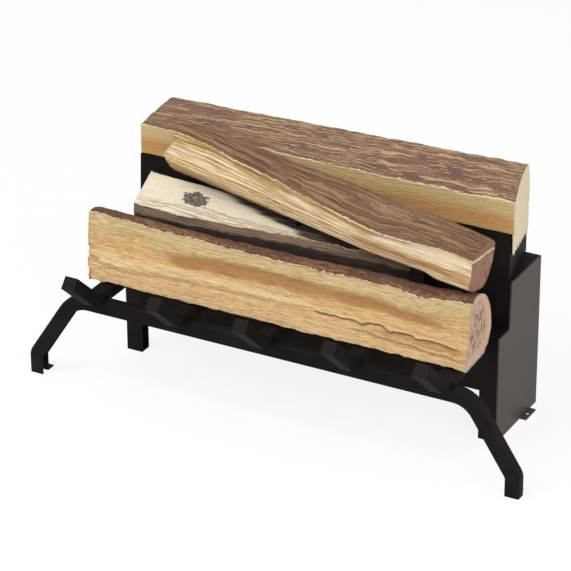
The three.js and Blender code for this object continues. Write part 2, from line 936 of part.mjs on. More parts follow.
function backScrewHole(place) {
  return screwHole('y', housingRear - shortScrewLength, housingRear + cutMargin, place.x, place.y);
}

// The shell is open at the top for the lid and at the back for the cover. At its left end the
// upper part reaches over the stand, whose bridge is its floor.
function housingShell() {
  const shell = housingBlock(0).subtract(housingBlock(sheet)).subtract(lidSpace());
  const bosses = backScrewPlaces().filter((place) => !isUpper(place));
  const body = join([shell, ...bosses.map(housingBoss)]);
  const holes = [
    roundBar('x', housingLeft - cutMargin, housingLeft + cutMargin, rotorDepth, rotorHeight,
      bushRadius + holeClearance, roundSides),
    roundBar('x', lowerRight - cutMargin, lowerRight + cutMargin, rotorDepth, rotorHeight,
      passageRadius, roundSides),
    roundBar('x', lowerRight - cutMargin, lowerRight + cutMargin, leadPassageDepth, leadPassageHeight,
      grommetHoleRadius, roundSides),
  ];
  const front = [lowerFaceDepth - cutMargin, lowerFaceDepth + cutMargin];
  for (let k = 0; k < barCount - 1; k += 1) {
    holes.push(screwHole('y', ...front, barScrewX(k), barMidHeight));
  }
  holes.push(...bosses.map(backScrewHole));
  for (const place of ledgeScrewPlaces()) {
    holes.push(screwHole('z', ledgeHeight - cutMargin, ledgeHeight + cutMargin,
      place.x, place.y, logScrewRadius));
  }
  return drill(body, holes);
}

function backCover() {
  const coverRight = housingRightCut(housingRear);
  const shape = new THREE.Shape(points([
    [lowerLeft, housingBaseHeight],
    [lowerRight, housingBaseHeight],
    [lowerRight, towerDeckHeight],
    [coverRight, towerDeckHeight],
    [coverRight, housingTopHeight],
    [housingLeft, housingTopHeight],
    [housingLeft, ledgeHeight],
    [lowerLeft, ledgeHeight],
  ]));
  const geometry = new THREE.ExtrudeGeometry(shape, { depth: sheet, bevelEnabled: false });
  geometry.rotateX(Math.PI / 2);
  geometry.translate(0, coverDepth + sheet, 0);
  const through = [coverDepth - cutMargin, coverDepth + cutMargin];
  const holes = backScrewPlaces().map((place) => screwHole('y', ...through, place.x, place.y));
  holes.push(block(
    -windowHalfLength, windowHalfLength, ...through, windowBaseHeight, windowBaseHeight + windowHeight,
  ));
  for (let k = 0; k < ventCount; k += 1) {
    const start = (k - (ventCount - 1) / 2) * ventSpacing - ventLength / 2;
    holes.push(block(
      start, start + ventLength, ...through, ventRowHeight, ventRowHeight + ventHeight,
    ));
  }
  return drill(toSolid(geometry), holes);
}

function lightWindow() {
  const front = coverDepth - seatGap - windowThickness;
  const pane = block(
    -windowHalfLength - windowRim, windowHalfLength + windowRim,
    front, coverDepth - seatGap,
    windowBaseHeight - windowRim, windowBaseHeight + windowHeight + windowRim,
  );
  const lens = block(
    -windowHalfLength + seatGap, windowHalfLength - seatGap,
    front, coverDepth + sheet,
    windowBaseHeight + seatGap, windowBaseHeight + windowHeight - seatGap,
  );
  return pane.add(lens);
}

// Light source

function flickerRotor() {
  const start = housingLeft + bushFlangeThickness;
  const shaft = roundBar('x', start, rotorEnd, rotorDepth, rotorHeight, rotorRadius);
  const span = (rotorEnd - couplingLength) * 2 / vaneCount;
  const vanes = [];
  for (let k = 0; k < vaneCount; k += 1) {
    const geometry = new THREE.BoxGeometry(vaneWidth, vaneReach * 2, vaneThickness);
    geometry.rotateX(vaneTwist * k);
    geometry.translate((k - (vaneCount - 1) / 2) * span, rotorDepth, rotorHeight);
    vanes.push(toSolid(geometry));
  }
  return join([shaft, ...vanes]);
}

function ringAlongX(start, end, outerRadius, boreRadius) {
  const ring = roundBar('x', start, end, rotorDepth, rotorHeight, outerRadius, roundSides);
  const boreEnds = [start - cutMargin, end + cutMargin];
  const bore = roundBar('x', ...boreEnds, rotorDepth, rotorHeight, boreRadius, roundSides);
  return ring.subtract(bore);
}

function rotorBush() {
  const innerFace = housingLeft + sheet + seatGap;
  const bore = rotorRadius + holeClearance;
  const sleeve = ringAlongX(innerFace - bushLength / 2, innerFace + bushLength / 2, bushRadius, bore);
  const flange = ringAlongX(innerFace, innerFace + bushFlangeThickness, bushFlangeRadius, bore);
  return sleeve.add(flange);
}

function rotorCoupling() {
  const start = rotorEnd - couplingLength / 2;
  return ringAlongX(start, start + couplingLength, couplingRadius, rotorRadius + seatGap);
}

function motorShaft() {
  const start = rotorEnd + seatGap;
  return roundBar('x', start, motorFaceX() - seatGap, rotorDepth, rotorHeight, motorShaftRadius);
}

function motorFaceX() {
  return towerLeft + sheet + seatGap;
}

function motorScrewPlaces() {
  const offset = motorEarReach - motorEarWidth / 2;
  return [
    new THREE.Vector3(motorFaceX(), rotorDepth - offset, rotorHeight),
    new THREE.Vector3(motorFaceX(), rotorDepth + offset, rotorHeight),
  ];
}

function flickerMotor() {
  const face = motorFaceX();
  const can = roundBar('x', face, face + motorLength, rotorDepth, rotorHeight, motorRadius, roundSides);
  const ears = block(
    face, face + motorEarThickness,
    rotorDepth - motorEarReach, rotorDepth + motorEarReach,
    rotorHeight - motorEarWidth / 2, rotorHeight + motorEarWidth / 2,
  );
  const holes = motorScrewPlaces().map((place) => (
    screwHole('x', face - cutMargin, face + cutMargin, place.y, place.z)
  ));
  return drill(can.add(ears), holes);
}

function lampBoard() {
  const far = lampBoardNearDepth + lampBoardWidth;
  const top = lampBoardHeight + boardThickness;
  const board = block(
    -lampBoardHalfLength, lampBoardHalfLength, lampBoardNearDepth, far, lampBoardHeight, top,
  );
  const middle = (lampBoardNearDepth + far) / 2;
  const pitch = lampBoardHalfLength * 2 / lampCount;
  const lamps = [];
  for (let k = 0; k < lampCount; k += 1) {
    const x = (k - (lampCount - 1) / 2) * pitch;
    lamps.push(block(
      x - lampSize / 2, x + lampSize / 2,
      middle - lampSize / 2, middle + lampSize / 2,
      top, top + lampHeight,
    ));
  }
  return join([board, ...lamps]);
}

function lampStandoff(side) {
  const x = side * (lampBoardHalfLength - lampBoardWidth / 2);
  const depth = lampBoardNearDepth + lampBoardWidth / 2;
  const base = housingBaseHeight + sheet + seatGap;
  return roundBar('z', base, lampBoardHeight - seatGap, x, depth, standoffRadius, roundSides);
}

// Controls

function controlBoard() {
  const face = towerLeft + sheet + controlBoardOffset;
  const back = face + boardThickness;
  const far = controlBoardNearDepth + controlBoardWidth;
  const top = controlBoardBase + controlBoardHeight;
  const board = block(face, back, controlBoardNearDepth, far, controlBoardBase, top);
  const left = controlBoardNearDepth + boardMargin;
  const base = controlBoardBase + boardMargin;
  const transformer = block(
    back, back + transformerThickness,
    left, left + transformerSize,
    base, base + transformerSize,
  );
  const parts = [board, transformer];
  for (let k = 0; k < relayCount; k += 1) {
    const relayTop = top - boardMargin - relaySpacing * k;
    parts.push(block(
      back, back + relayThickness, left, left + relaySize, relayTop - relaySize, relayTop,
    ));
  }
  for (let k = 1; k <= capacitorCount; k += 1) {
    const depth = far - capacitorSpacing * k;
    const height = controlBoardBase + transformerSize;
    const end = back + capacitorLength;
    parts.push(roundBar('x', back, end, depth, height, capacitorRadius, roundSides));
  }
  return join(parts);
}

function controlSpacer(atBase) {
  const start = towerLeft + sheet + seatGap;
  const end = towerLeft + sheet + controlBoardOffset - seatGap;
  const depth = controlBoardNearDepth + controlBoardWidth / 2;
  const inset = standoffRadius * 2;
  const height = atBase ? controlBoardBase + inset : controlBoardBase + controlBoardHeight - inset;
  return roundBar('x', start, end, depth, height, standoffRadius, roundSides);
}

function powerInlet() {
  const half = inletWidth / 2;
  const rearFace = housingRear + seatGap;
  const front = rearFace - inletBodyDepth;
  const top = inletBase + inletHeight;
  const body = block(controlsX - half, controlsX + half, front, rearFace, inletBase, top);
  const flange = block(
    controlsX - half - inletFlange, controlsX + half + inletFlange,
    rearFace, rearFace + inletFlange,
    inletBase - inletFlange, top + inletFlange,
  );
  const bowl = block(
    controlsX - half + inletWall, controlsX + half - inletWall,
    front + inletWall, rearFace + cutMargin,
    inletBase + inletWall, top - inletWall,
  );
  const middleHeight = inletBase + inletHeight / 2;
  const pins = [-1, 1].map((side) => roundBar(
    'y', front, rearFace - inletFlange,
    controlsX, middleHeight + side * inletPinSpacing / 2, inletPinRadius,
  ));
  return join([body.add(flange).subtract(bowl), ...pins]);
}

function switchBezel() {
  const half = switchWidth / 2;
  const rearFace = housingRear + seatGap;
  const front = rearFace - switchBodyDepth;
  const top = switchBase + switchHeight;
  const body = block(controlsX - half, controlsX + half, front, rearFace, switchBase, top);
  const flange = block(
    controlsX - half - switchRim, controlsX + half + switchRim,
    rearFace, rearFace + switchRim,
    switchBase - switchRim, top + switchRim,
  );
  const well = block(
    controlsX - half + switchRim, controlsX + half - switchRim,
    rearFace - switchBodyDepth / 2, rearFace + cutMargin,
    switchBase + switchRim, top - switchRim,
  );
  return body.add(flange).subtract(well);
}

function rockerPivot() {
  return new THREE.Vector3(controlsX, housingRear + seatGap, switchBase + switchHeight / 2);
}

// The rocker is drawn about its own pivot and tilted to the off position.
function powerRocker() {
  const halfWidthX = switchWidth / 2 - switchRim - holeClearance;
  const halfHeight = switchHeight / 2 - switchRim - holeClearance * 2;
  const proud = switchRim + rockerProud;
  const outline = points([
    [-switchBodyDepth / 4, -halfHeight * rockerRootShare],
    [proud * rockerShoulderShare, -halfHeight],
    [proud, -halfHeight * rockerTipShare],
    [proud * rockerWaistShare, 0],
    [proud, halfHeight * rockerTipShare],
    [proud * rockerShoulderShare, halfHeight],
    [-switchBodyDepth / 4, halfHeight * rockerRootShare],
  ]);
  return prismAlongX(outline, () => -halfWidthX, () => halfWidthX);
}

function lead(stops) {
  const curve = new THREE.CatmullRomCurve3(stops, false, 'centripetal');
  const corners = [];
  for (let k = 0; k < leadSides; k += 1) {
    const angle = (k / leadSides) * Math.PI * 2;
    corners.push(new THREE.Vector2(leadRadius * Math.cos(angle), leadRadius * Math.sin(angle)));
  }
  const section = new THREE.Shape(corners);
  const settings = { steps: leadSteps, extrudePath: curve, bevelEnabled: false };
  const geometry = new THREE.ExtrudeGeometry(section, settings);
  return toGeometry(toSolid(geometry));
}

// The lead runs from the control board through the grommet holes to the end of the lamp board.
function lampLeadStops() {
  const boardFace = towerLeft + sheet + controlBoardOffset;
  const lampTop = lampBoardHeight + boardThickness;
  const lampDepth = lampBoardNearDepth + lampBoardWidth / 4;
  const lampEnd = lampBoardHalfLength - leadRadius * 2;
  const stops = [
    [boardFace - seatGap - leadRadius, leadPassageDepth + leadBow, leadPassageHeight - leadBow],
    [boardFace - controlBoardOffset / 2, leadPassageDepth, leadPassageHeight],
    [lowerRight - controlBoardOffset, leadPassageDepth, leadPassageHeight - leadRadius],
    [lampEnd, lampDepth, lampTop + leadBow],
    [lampEnd, lampDepth, lampTop + seatGap],
  ];
  return stops.map((stop) => new THREE.Vector3(...stop));
}

// Logs

// A value read off a short table of shares at a place between 0 and 1.
function shareAt(table, place) {
  const scaled = place * (table.length - 1);
  const low = Math.min(Math.floor(scaled), Math.max(table.length - 2, 0));
  const high = Math.min(low + 1, table.length - 1);
  return THREE.MathUtils.lerp(table[low], table[high], scaled - low);
}

// Long bark furrows: two slow waves along the log that slip from corner to corner.
function barkWave(along, corner) {
  const turn = (along / barkFurrowLength) * Math.PI;
  const slow = Math.sin(turn * barkRipple.slow + corner * barkRipple.aroundSlow);
  const fast = Math.sin(turn * barkRipple.fast + corner * barkRipple.aroundFast);
  return (slow + fast) / 2;
}

// One point on a log's surface, in the log's own frame: X along it, Y back, Z up.
function logPoint(log, place, corner) {
  const ringShareAt = (axis) => shareAt(log.ringShares.map((ring) => ring[corner][axis]), place);
  const depth = ringShareAt(0) * log.depth;
  const height = ringShareAt(1) * log.height * shareAt(log.heightShares, place);
  const [, firstHeightShare] = log.ringShares[0][corner];
  const tip = log.tipShare * log.length * (1 - Math.abs(firstHeightShare / tipHeightShare - 1));
  const start = log.leftCutShare * depth - Math.max(tip, 0);
  const end = log.length + log.rightCutShare * depth;
  const along = THREE.MathUtils.lerp(start, end, place);
  const fade = Math.min(1, place / barkFadeShare, (1 - place) / barkFadeShare);
  const lift = barkWave(along, corner) * log.relief * log.barkShares[corner] * fade;
  return new THREE.Vector3(along, depth, height + lift);
}

function logGeometry(log) {
  const corners = log.ringShares[0].map((share, k) => k);
  const rings = [];
  for (let station = 0; station < log.stations; station += 1) {
    const place = station / (log.stations - 1);
    rings.push(corners.map((corner) => logPoint(log, place, corner)));
  }
  const outline = rings[0].map((point) => new THREE.Vector2(point.y, point.z));
  return loft(rings, outline);
}

// The ragged lip that hangs over the housing's right end.
function rearLogLip() {
  const outline = [new THREE.Vector2(panelHeadDepth, housingTopHeight + cutMargin)];
  for (let k = 0; k <= lipTeeth; k += 1) {
    const depth = THREE.MathUtils.lerp(panelHeadDepth, housingRear, k / lipTeeth);
    const tooth = k % 2 === 0 ? lipDrop : lipDrop + lipTooth;
    outline.push(new THREE.Vector2(depth, housingTopHeight - tooth));
  }
  outline.push(new THREE.Vector2(housingRear, housingTopHeight + cutMargin));
  const outer = (depth) => housingRightCut(depth) + seatGap + lipThickness;
  return prismAlongX(outline, (depth) => outer(depth) - lipThickness, outer);
}

function placedLog(log, at, yaw = 0, pitch = 0) {
  const matrix = new THREE.Matrix4().makeRotationFromEuler(new THREE.Euler(0, pitch, yaw, 'ZYX'));
  matrix.setPosition(at);
  return toSolid(logGeometry(log).applyMatrix4(matrix));
}

function logPinPlaces() {
  const frontDepth = frontLogAt.y + frontLog.depth / 2;
  return [
    new THREE.Vector3(barX(barCount - 1), frontDepth, topLogAt.z - frontPinDrop),
    new THREE.Vector3(
      topLogAt.x + middlePinInset,
      middleLogAt.y + middlePinDepth,
      topLogAt.z - middlePinDrop,
    ),
  ];
}

function pinHole(at) {
  const reach = logPinHalfLength + seatGap;
  return roundBar('z', at.z - reach, at.z + reach, at.x, at.y, logPinRadius + holeClearance);
}

function logScrewHole(place, base) {
  return screwHole('z', base - cutMargin, base + logScrewLength, place.x, place.y, logScrewRadius);
}

// The front log is screwed from below through every second bar.
function frontLogScrewPlaces() {
  return barNumbers().filter(takesLogScrew).map((k) => new THREE.Vector2(barX(k), frontLogScrewDepth));
}

function logSolids() {
  const [frontPin, middlePin] = logPinPlaces();
  const rear = placedLog(rearLog, rearLogAt).add(rearLogLip());
  const front = placedLog(frontLog, frontLogAt);
  const middle = placedLog(middleLog, middleLogAt);
  const top = placedLog(topLog, topLogAt, topLogYaw, topLogPitch);
  return {
    rear: drill(rear, rearLogScrewPlaces().map((place) => logScrewHole(place, housingTopHeight))),
    front: drill(front, [
      pinHole(frontPin),
      ...frontLogScrewPlaces().map((place) => logScrewHole(place, barMidHeight - barHeight / 2)),
    ]),
    middle: drill(middle, [
      pinHole(middlePin),
      ...ledgeScrewPlaces().map((place) => logScrewHole(place, ledgeHeight)),
    ]),
    top: drill(top, [pinHole(frontPin), pinHole(middlePin)]),
  };
}

// Groups of the set

function standGroup() {
  const group = new THREE.Group();
  group.add(piece('front_rail', frontRail(), paintedSteel()));
  group.add(piece('left_stand', leftStand(), paintedSteel()));
  group.add(piece('tower_casing', towerCasing(), paintedSteel()));
  group.add(piece('tower_side_plate', towerSidePlate(), paintedSteel()));
  for (let k = 0; k < barCount; k += 1) {
    const screwDepths = takesLogScrew(k) ? [frontLogScrewDepth] : [];
    const bar = piece(`grate_bar_${k + 1}`, grateBar(screwDepths), paintedSteel());
    bar.position.x = barX(k);
    group.add(bar);
    const head = new THREE.Vector3(barScrewX(k), lowerFaceDepth + sheet + seatGap, barMidHeight);
    group.add(screw(`bar_screw_${k + 1}`, screwRadius, shortScrewLength, head, Math.PI / 2));
  }
  coverScrewHeights().forEach((height, k) => {
    const head = new THREE.Vector3(coverTabX(), housingRear + seatGap, height);
    group.add(screw(`tower_screw_${k + 1}`, screwRadius, towerScrewLength, head, Math.PI / 2));
  });
  return group;
}

function housingGroup() {
  const group = new THREE.Group();
  group.add(piece('housing_shell', housingShell(), paintedSteel()));
  group.add(piece('housing_lid', housingLid(), paintedSteel()));
  group.add(piece('back_cover', backCover(), paintedSteel()));
  group.add(piece('light_window', lightWindow(), frostedAcrylic()));
  backScrewPlaces().forEach((place, k) => {
    const head = new THREE.Vector3(place.x, coverDepth + sheet + seatGap, place.y);
    group.add(screw(`back_screw_${k + 1}`, screwRadius, shortScrewLength, head, Math.PI / 2));
  });
  return group;
}

function lightGroup() {
  const group = new THREE.Group();
  group.add(piece('flicker_rotor', flickerRotor(), brightAluminium()));
  group.add(piece('rotor_coupling', rotorCoupling(), softRubber()));
  group.add(piece('motor_shaft', motorShaft(), zincSteel()));
  group.add(piece('rotor_bush', rotorBush(), bearingBrass()));
  group.add(piece('flicker_motor', flickerMotor(), zincSteel()));
  motorScrewPlaces().forEach((place, k) => {
    const head = place.clone();
    head.x += motorEarThickness + seatGap;
    group.add(screw(`motor_screw_${k + 1}`, screwRadius, motorScrewLength, head, 0, -Math.PI / 2));
  });
  group.add(piece('lamp_board', lampBoard(), boardResin()));
  group.add(piece('lamp_standoff_1', lampStandoff(-1), whitePlastic()));
  group.add(piece('lamp_standoff_2', lampStandoff(1), whitePlastic()));
  return group;
}

function controlGroup() {
  const group = new THREE.Group();
  group.add(piece('control_board', controlBoard(), boardResin()));
  group.add(piece('control_spacer_1', controlSpacer(true), whitePlastic()));
  group.add(piece('control_spacer_2', controlSpacer(false), whitePlastic()));
  group.add(piece('power_inlet', powerInlet(), blackPlastic()));
  group.add(piece('switch_bezel', switchBezel(), blackPlastic()));
  const rocker = piece('power_rocker', powerRocker(), blackPlastic());
  rocker.position.copy(rockerPivot());
  rocker.rotation.x = rockerTilt;
  group.add(rocker);
  group.add(piece('lamp_lead', lead(lampLeadStops()), softRubber()));
  return group;
}

function logGroup() {
  const group = new THREE.Group();
  const solids = logSolids();
  group.add(piece(rearLog.name, solids.rear, splitWood(rearLog.colour)));
  group.add(piece(topLog.name, solids.top, splitWood(topLog.colour)));
  group.add(piece(middleLog.name, solids.middle, splitWood(middleLog.colour)));
  group.add(piece(frontLog.name, solids.front, splitWood(frontLog.colour)));
  logPinPlaces().forEach((at, k) => {
    const ends = [at.z - logPinHalfLength, at.z + logPinHalfLength];
    const pin = roundBar('z', ...ends, at.x, at.y, logPinRadius);
    group.add(piece(`log_pin_${k + 1}`, pin, paintedSteel()));
  });
  const addScrews = (prefix, places, headHeight) => places.forEach((place, k) => {
    const head = new THREE.Vector3(place.x, place.y, headHeight - seatGap);
    group.add(screw(`${prefix}_${k + 1}`, logScrewRadius, logScrewLength, head));
  });
  addScrews('front_log_screw', frontLogScrewPlaces(), barTopHeight - barHeight);
  addScrews('middle_log_screw', ledgeScrewPlaces(), ledgeHeight - sheet);
  addScrews('rear_log_screw', rearLogScrewPlaces(), housingTopHeight - sheet);
  return group;
}

const logSet = new THREE.Group();
logSet.add(standGroup(), housingGroup(), lightGroup(), controlGroup(), logGroup());

const extent = new THREE.Box3().setFromObject(logSet);
const centre = extent.getCenter(new THREE.Vector3());
logSet.position.set(-centre.x, -centre.y, -extent.min.z);
logSet.updateMatrixWorld(true);

export default logSet;
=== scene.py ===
"""Dresses the electric fireplace log set: four moulded split logs on a painted steel stand."""

import math

import bpy
import numpy as np
from mathutils import Matrix, Vector


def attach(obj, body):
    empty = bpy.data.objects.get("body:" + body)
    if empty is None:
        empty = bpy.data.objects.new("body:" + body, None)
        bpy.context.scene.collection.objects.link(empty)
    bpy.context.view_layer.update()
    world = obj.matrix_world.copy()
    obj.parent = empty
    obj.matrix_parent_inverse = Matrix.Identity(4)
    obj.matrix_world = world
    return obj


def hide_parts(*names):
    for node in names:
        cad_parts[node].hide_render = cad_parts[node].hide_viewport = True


bl_info = {
    "name": "Electric fireplace log set",
    "version": (1, 0, 0),
    "blender": (4, 5, 0),
    "location": "3D View > Sidebar > Log set",
    "description": "Moulded split logs, painted steel and fittings of an electric fireplace log set",
    "category": "Add Mesh",
}

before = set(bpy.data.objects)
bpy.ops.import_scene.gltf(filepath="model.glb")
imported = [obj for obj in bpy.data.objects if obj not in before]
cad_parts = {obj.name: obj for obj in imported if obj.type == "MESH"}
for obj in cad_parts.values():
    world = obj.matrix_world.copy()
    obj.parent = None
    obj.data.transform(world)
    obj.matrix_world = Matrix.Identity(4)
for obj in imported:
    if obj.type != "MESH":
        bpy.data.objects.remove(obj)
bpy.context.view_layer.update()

MM = 0.001
ROW_SHIFT = Vector((0.0, -76.057, 0.0))  # from the drawing's rail face to the middle of the set, in mm
BLACK = (0.0, 0.0, 0.0)
WHITE = (1.0, 1.0, 1.0)
WARM_WHITE = (1.0, 1.0, 0.9)
HONEY = (1.0, 0.86, 0.5)


def from_screen(red, green, blue):
    """A colour as Blender keeps it, from the red, green and blue that a screen shows, 0 to 255."""
    return tuple(((value / 255 + 0.055) / 1.055) ** 2.4 if value > 10 else value / 255 / 12.92
                 for value in (red, green, blue))


def mixed(first, second, share):
    """The colour that lies a share of the way from the first to the second."""
    return tuple(a + (b - a) * share for a, b in zip(first, second))


def darker(colour, share):
    """A colour, a share of the way to black."""
    return mixed(colour, BLACK, share)


def paler(colour, share):
    """A colour, a share of the way to white."""
    return mixed(colour, WHITE, share)


# Sizes and colours that a user may change

class LogSizes(bpy.types.PropertyGroup):
    """How finely the logs are meshed, and how deep their relief is."""

    step_around: bpy.props.FloatProperty(
        name="Step around", description="Mesh spacing round a log's section",
        default=0.58 * MM, min=0.3 * MM, unit="LENGTH")
    stations: bpy.props.IntProperty(
        name="Stations", description="Mesh rings along a log", default=225, min=40)
    cap_rings: bpy.props.IntProperty(
        name="Rings in an end", description="Mesh rings in a log's end face", default=14, min=4)
    bark_depth: bpy.props.FloatProperty(
        name="Bark depth", description="Depth of the furrows in the bark",
        default=1.7 * MM, unit="LENGTH")
    grain_depth: bpy.props.FloatProperty(
        name="Grain depth", description="Depth of the grooves in the split faces",
        default=0.75 * MM, unit="LENGTH")
    crack_depth: bpy.props.FloatProperty(
        name="Crack depth", description="Depth of the long cracks in the split faces",
        default=2.6 * MM, unit="LENGTH")


def colour_setting(label, use, rgb):
    """A colour that a user may change, with its default as a screen shows it."""
    return bpy.props.FloatVectorProperty(
        name=label, description=use, subtype="COLOR", size=3, min=0, max=1, default=from_screen(*rgb))


class LogColours(bpy.types.PropertyGroup):
    """The paint colours of the moulded logs, with the painted shade and shadow of the middle log."""

    rear_bark: colour_setting("Rear bark", "Bark of the rear log", (122, 92, 80))
    rear_furrow: colour_setting("Rear furrow", "Squiggled furrows of the rear log", (190, 162, 120))
    rear_face_top: colour_setting("Rear face top", "Upper band of the rear log's face", (198, 174, 122))
    rear_face_middle: colour_setting("Rear face middle", "Middle of the rear log's face", (192, 142, 86))
    rear_face_base: colour_setting("Rear face base", "Lower band of the rear log's face", (188, 150, 94))
    cream: colour_setting("Cream", "Sawn end and lip of the rear log", (230, 216, 184))
    top_bark: colour_setting("Top bark", "Bark of the top log", (116, 86, 67))
    top_furrow: colour_setting("Top furrow", "Ridges in the bark of the top log", (152, 122, 88))
    top_face: colour_setting("Top face", "Split face of the top log", (228, 200, 150))
    top_shade: colour_setting("Top shade", "Olive wash under the top log's bark", (176, 146, 84))
    # painted shade: the near-black of the middle log's lower bark and right end stands for the deep shade
    # under its overhang
    char: colour_setting("Char", "Charred underside of the middle log", (30, 26, 24))
    # painted shadow: the dark of the middle log's face beyond a slanted line stands for the top log's shadow
    # on it
    top_log_shadow: colour_setting("Soot", "Sooty part of the middle log's face", (52, 42, 44))
    middle_face: colour_setting("Middle face", "Split face of the middle log", (230, 220, 198))
    middle_bark: colour_setting("Middle bark", "Bark edge of the middle log", (140, 118, 98))
    knot: colour_setting("Knot", "Knot in the middle log", (92, 80, 70))
    front_face: colour_setting("Front face", "Split face of the front log", (216, 177, 122))
    front_pale: colour_setting("Front pale", "Pale band at the top of the front log", (200, 176, 130))
    front_dark: colour_setting("Front dark", "Dark streaks in the front log", (158, 110, 60))
    front_bark: colour_setting("Front bark", "Bark of the front log", (106, 75, 58))
    front_fleck: colour_setting("Front patches", "Tan patches in the front log's bark", (142, 102, 72))
    top_end: colour_setting("Top end", "End faces of the top log", (156, 118, 91))
    front_end: colour_setting("Front end", "End faces of the front log", (204, 170, 144))
    end_mark: colour_setting("End marks", "Dark grain in the end faces", (112, 82, 74))


class SteelColours(bpy.types.PropertyGroup):
    """The paint of the stand, and the metals and plastics of the fittings."""

    black: colour_setting("Black paint", "Stand, grate and housing", (20, 17, 15))
    # painted light: the tower's side plate gets a grey lighter than the black paint, for the light that falls
    # on it from the right
    side_plate: colour_setting("Side plate", "Outer plate of the tower", (77, 70, 66))
    zinc: colour_setting("Zinc", "Screws, shaft and motor", (150, 152, 154))
    plastic: colour_setting("Plastic", "Inlet and switch", (24, 24, 24))


class Studio(bpy.types.PropertyGroup):
    """Camera, lamps and floor."""

    azimuth: bpy.props.FloatProperty(
        name="Azimuth", description="Camera's turn round the set", default=math.radians(28.59),
        unit="ROTATION")
    elevation: bpy.props.FloatProperty(
        name="Elevation", description="Camera's angle over the floor", default=math.radians(26.72),
        unit="ROTATION")
    roll: bpy.props.FloatProperty(
        name="Roll", description="Camera's lean", default=math.radians(-0.31), unit="ROTATION")
    distance: bpy.props.FloatProperty(
        name="Distance", description="Camera to the middle of the set", default=3.2457, unit="LENGTH")
    lens: bpy.props.FloatProperty(
        name="Lens", description="Focal length in mm on a 36 mm sensor", default=187.56)
    aim: bpy.props.FloatVectorProperty(
        name="Aim", description="The point the camera looks at", size=3, unit="LENGTH",
        default=(-5.87 * MM, -16.057 * MM, 153.2 * MM))
    key_power: bpy.props.FloatProperty(
        name="Key lamp", description="Power of the large lamp over the front left", default=43, unit="POWER")
    fill_power: bpy.props.FloatProperty(
        name="Fill lamp", description="Power of the lamp at the right", default=18, unit="POWER")
    ambient: bpy.props.FloatProperty(
        name="Ambient", description="Strength of the white surroundings", default=0.62)
    floor_colour: colour_setting("Floor", "Floor and backdrop", (246, 246, 246))


# Shader nodes

class Wire:
    """One socket of a tree's nodes. Sums of wires add Math nodes."""

    def __init__(self, tree, socket):
        self.tree = tree
        self.socket = socket

    def _math(self, operation, *items):
        node = self.tree.nodes.new("ShaderNodeMath")
        node.operation = operation
        for place, item in zip(node.inputs, items):
            feed(self.tree, place, item)
        return Wire(self.tree, node.outputs[0])

    def __add__(self, other):
        return self._math("ADD", self, other)

    def __radd__(self, other):
        return self._math("ADD", other, self)

    def __sub__(self, other):
        return self._math("SUBTRACT", self, other)

    def __rsub__(self, other):
        return self._math("SUBTRACT", other, self)

    def __mul__(self, other):
        return self._math("MULTIPLY", self, other)

    def __rmul__(self, other):
        return self._math("MULTIPLY", other, self)

    def limit(self):
        """The value, kept from 0 to 1."""
        return self._math("MINIMUM", self._math("MAXIMUM", self, 0.0), 1.0)


def feed(tree, place, item):
    """Links a wire to a socket, or sets the socket's own value."""
    if isinstance(item, Wire):
        tree.links.new(item.socket, place)
    elif place.type == "RGBA" and len(item) == 3:
        place.default_value = (*item, 1.0)
    else:
        place.default_value = item


def set_stops(ramp, stops):
    """Gives a colour ramp its stops, each a place from 0 to 1 and a colour."""
    while len(ramp.elements) < len(stops):
        ramp.elements.new(0.5)
    for element, (place, rgb) in zip(ramp.elements, stops):
        element.position = place
        element.color = (*rgb, 1.0)


class Nodes:
    """A tree of shader nodes, and the one method that adds to it."""

    def __init__(self, tree):
        self.tree = tree

    def node(self, kind, settings=None, output=0, **inputs):
        """Adds a node: its settings first, then its sockets by name or by number as in i0, i1."""
        node = self.tree.nodes.new(kind)
        for label, value in (settings or {}).items():
            if label == "stops":
                set_stops(node.color_ramp, value)
            else:
                setattr(node, label, value)
        for label, value in inputs.items():
            numbered = label[0] == "i" and label[1:].isdigit()
            feed(self.tree, node.inputs[int(label[1:]) if numbered else label.replace("_", " ")], value)
        return Wire(self.tree, node.outputs[output])

    def background_rays(self):
        """1 for rays from the camera, off gloss or through glass, and 0 for those that light the object."""
        camera, gloss, glass = (self.node("ShaderNodeLightPath", output=f"Is {kind} Ray")
                                for kind in ("Camera", "Glossy", "Transmission"))
        return (camera + gloss + glass).limit()

    def show(self, output, share, first, second):
        """Mixes two shaders by a share and gives the mix to the tree's output."""
        mix = self.node("ShaderNodeMixShader", i0=share, i1=first, i2=second)
        feed(self.tree, self.tree.nodes[output].inputs["Surface"], mix)


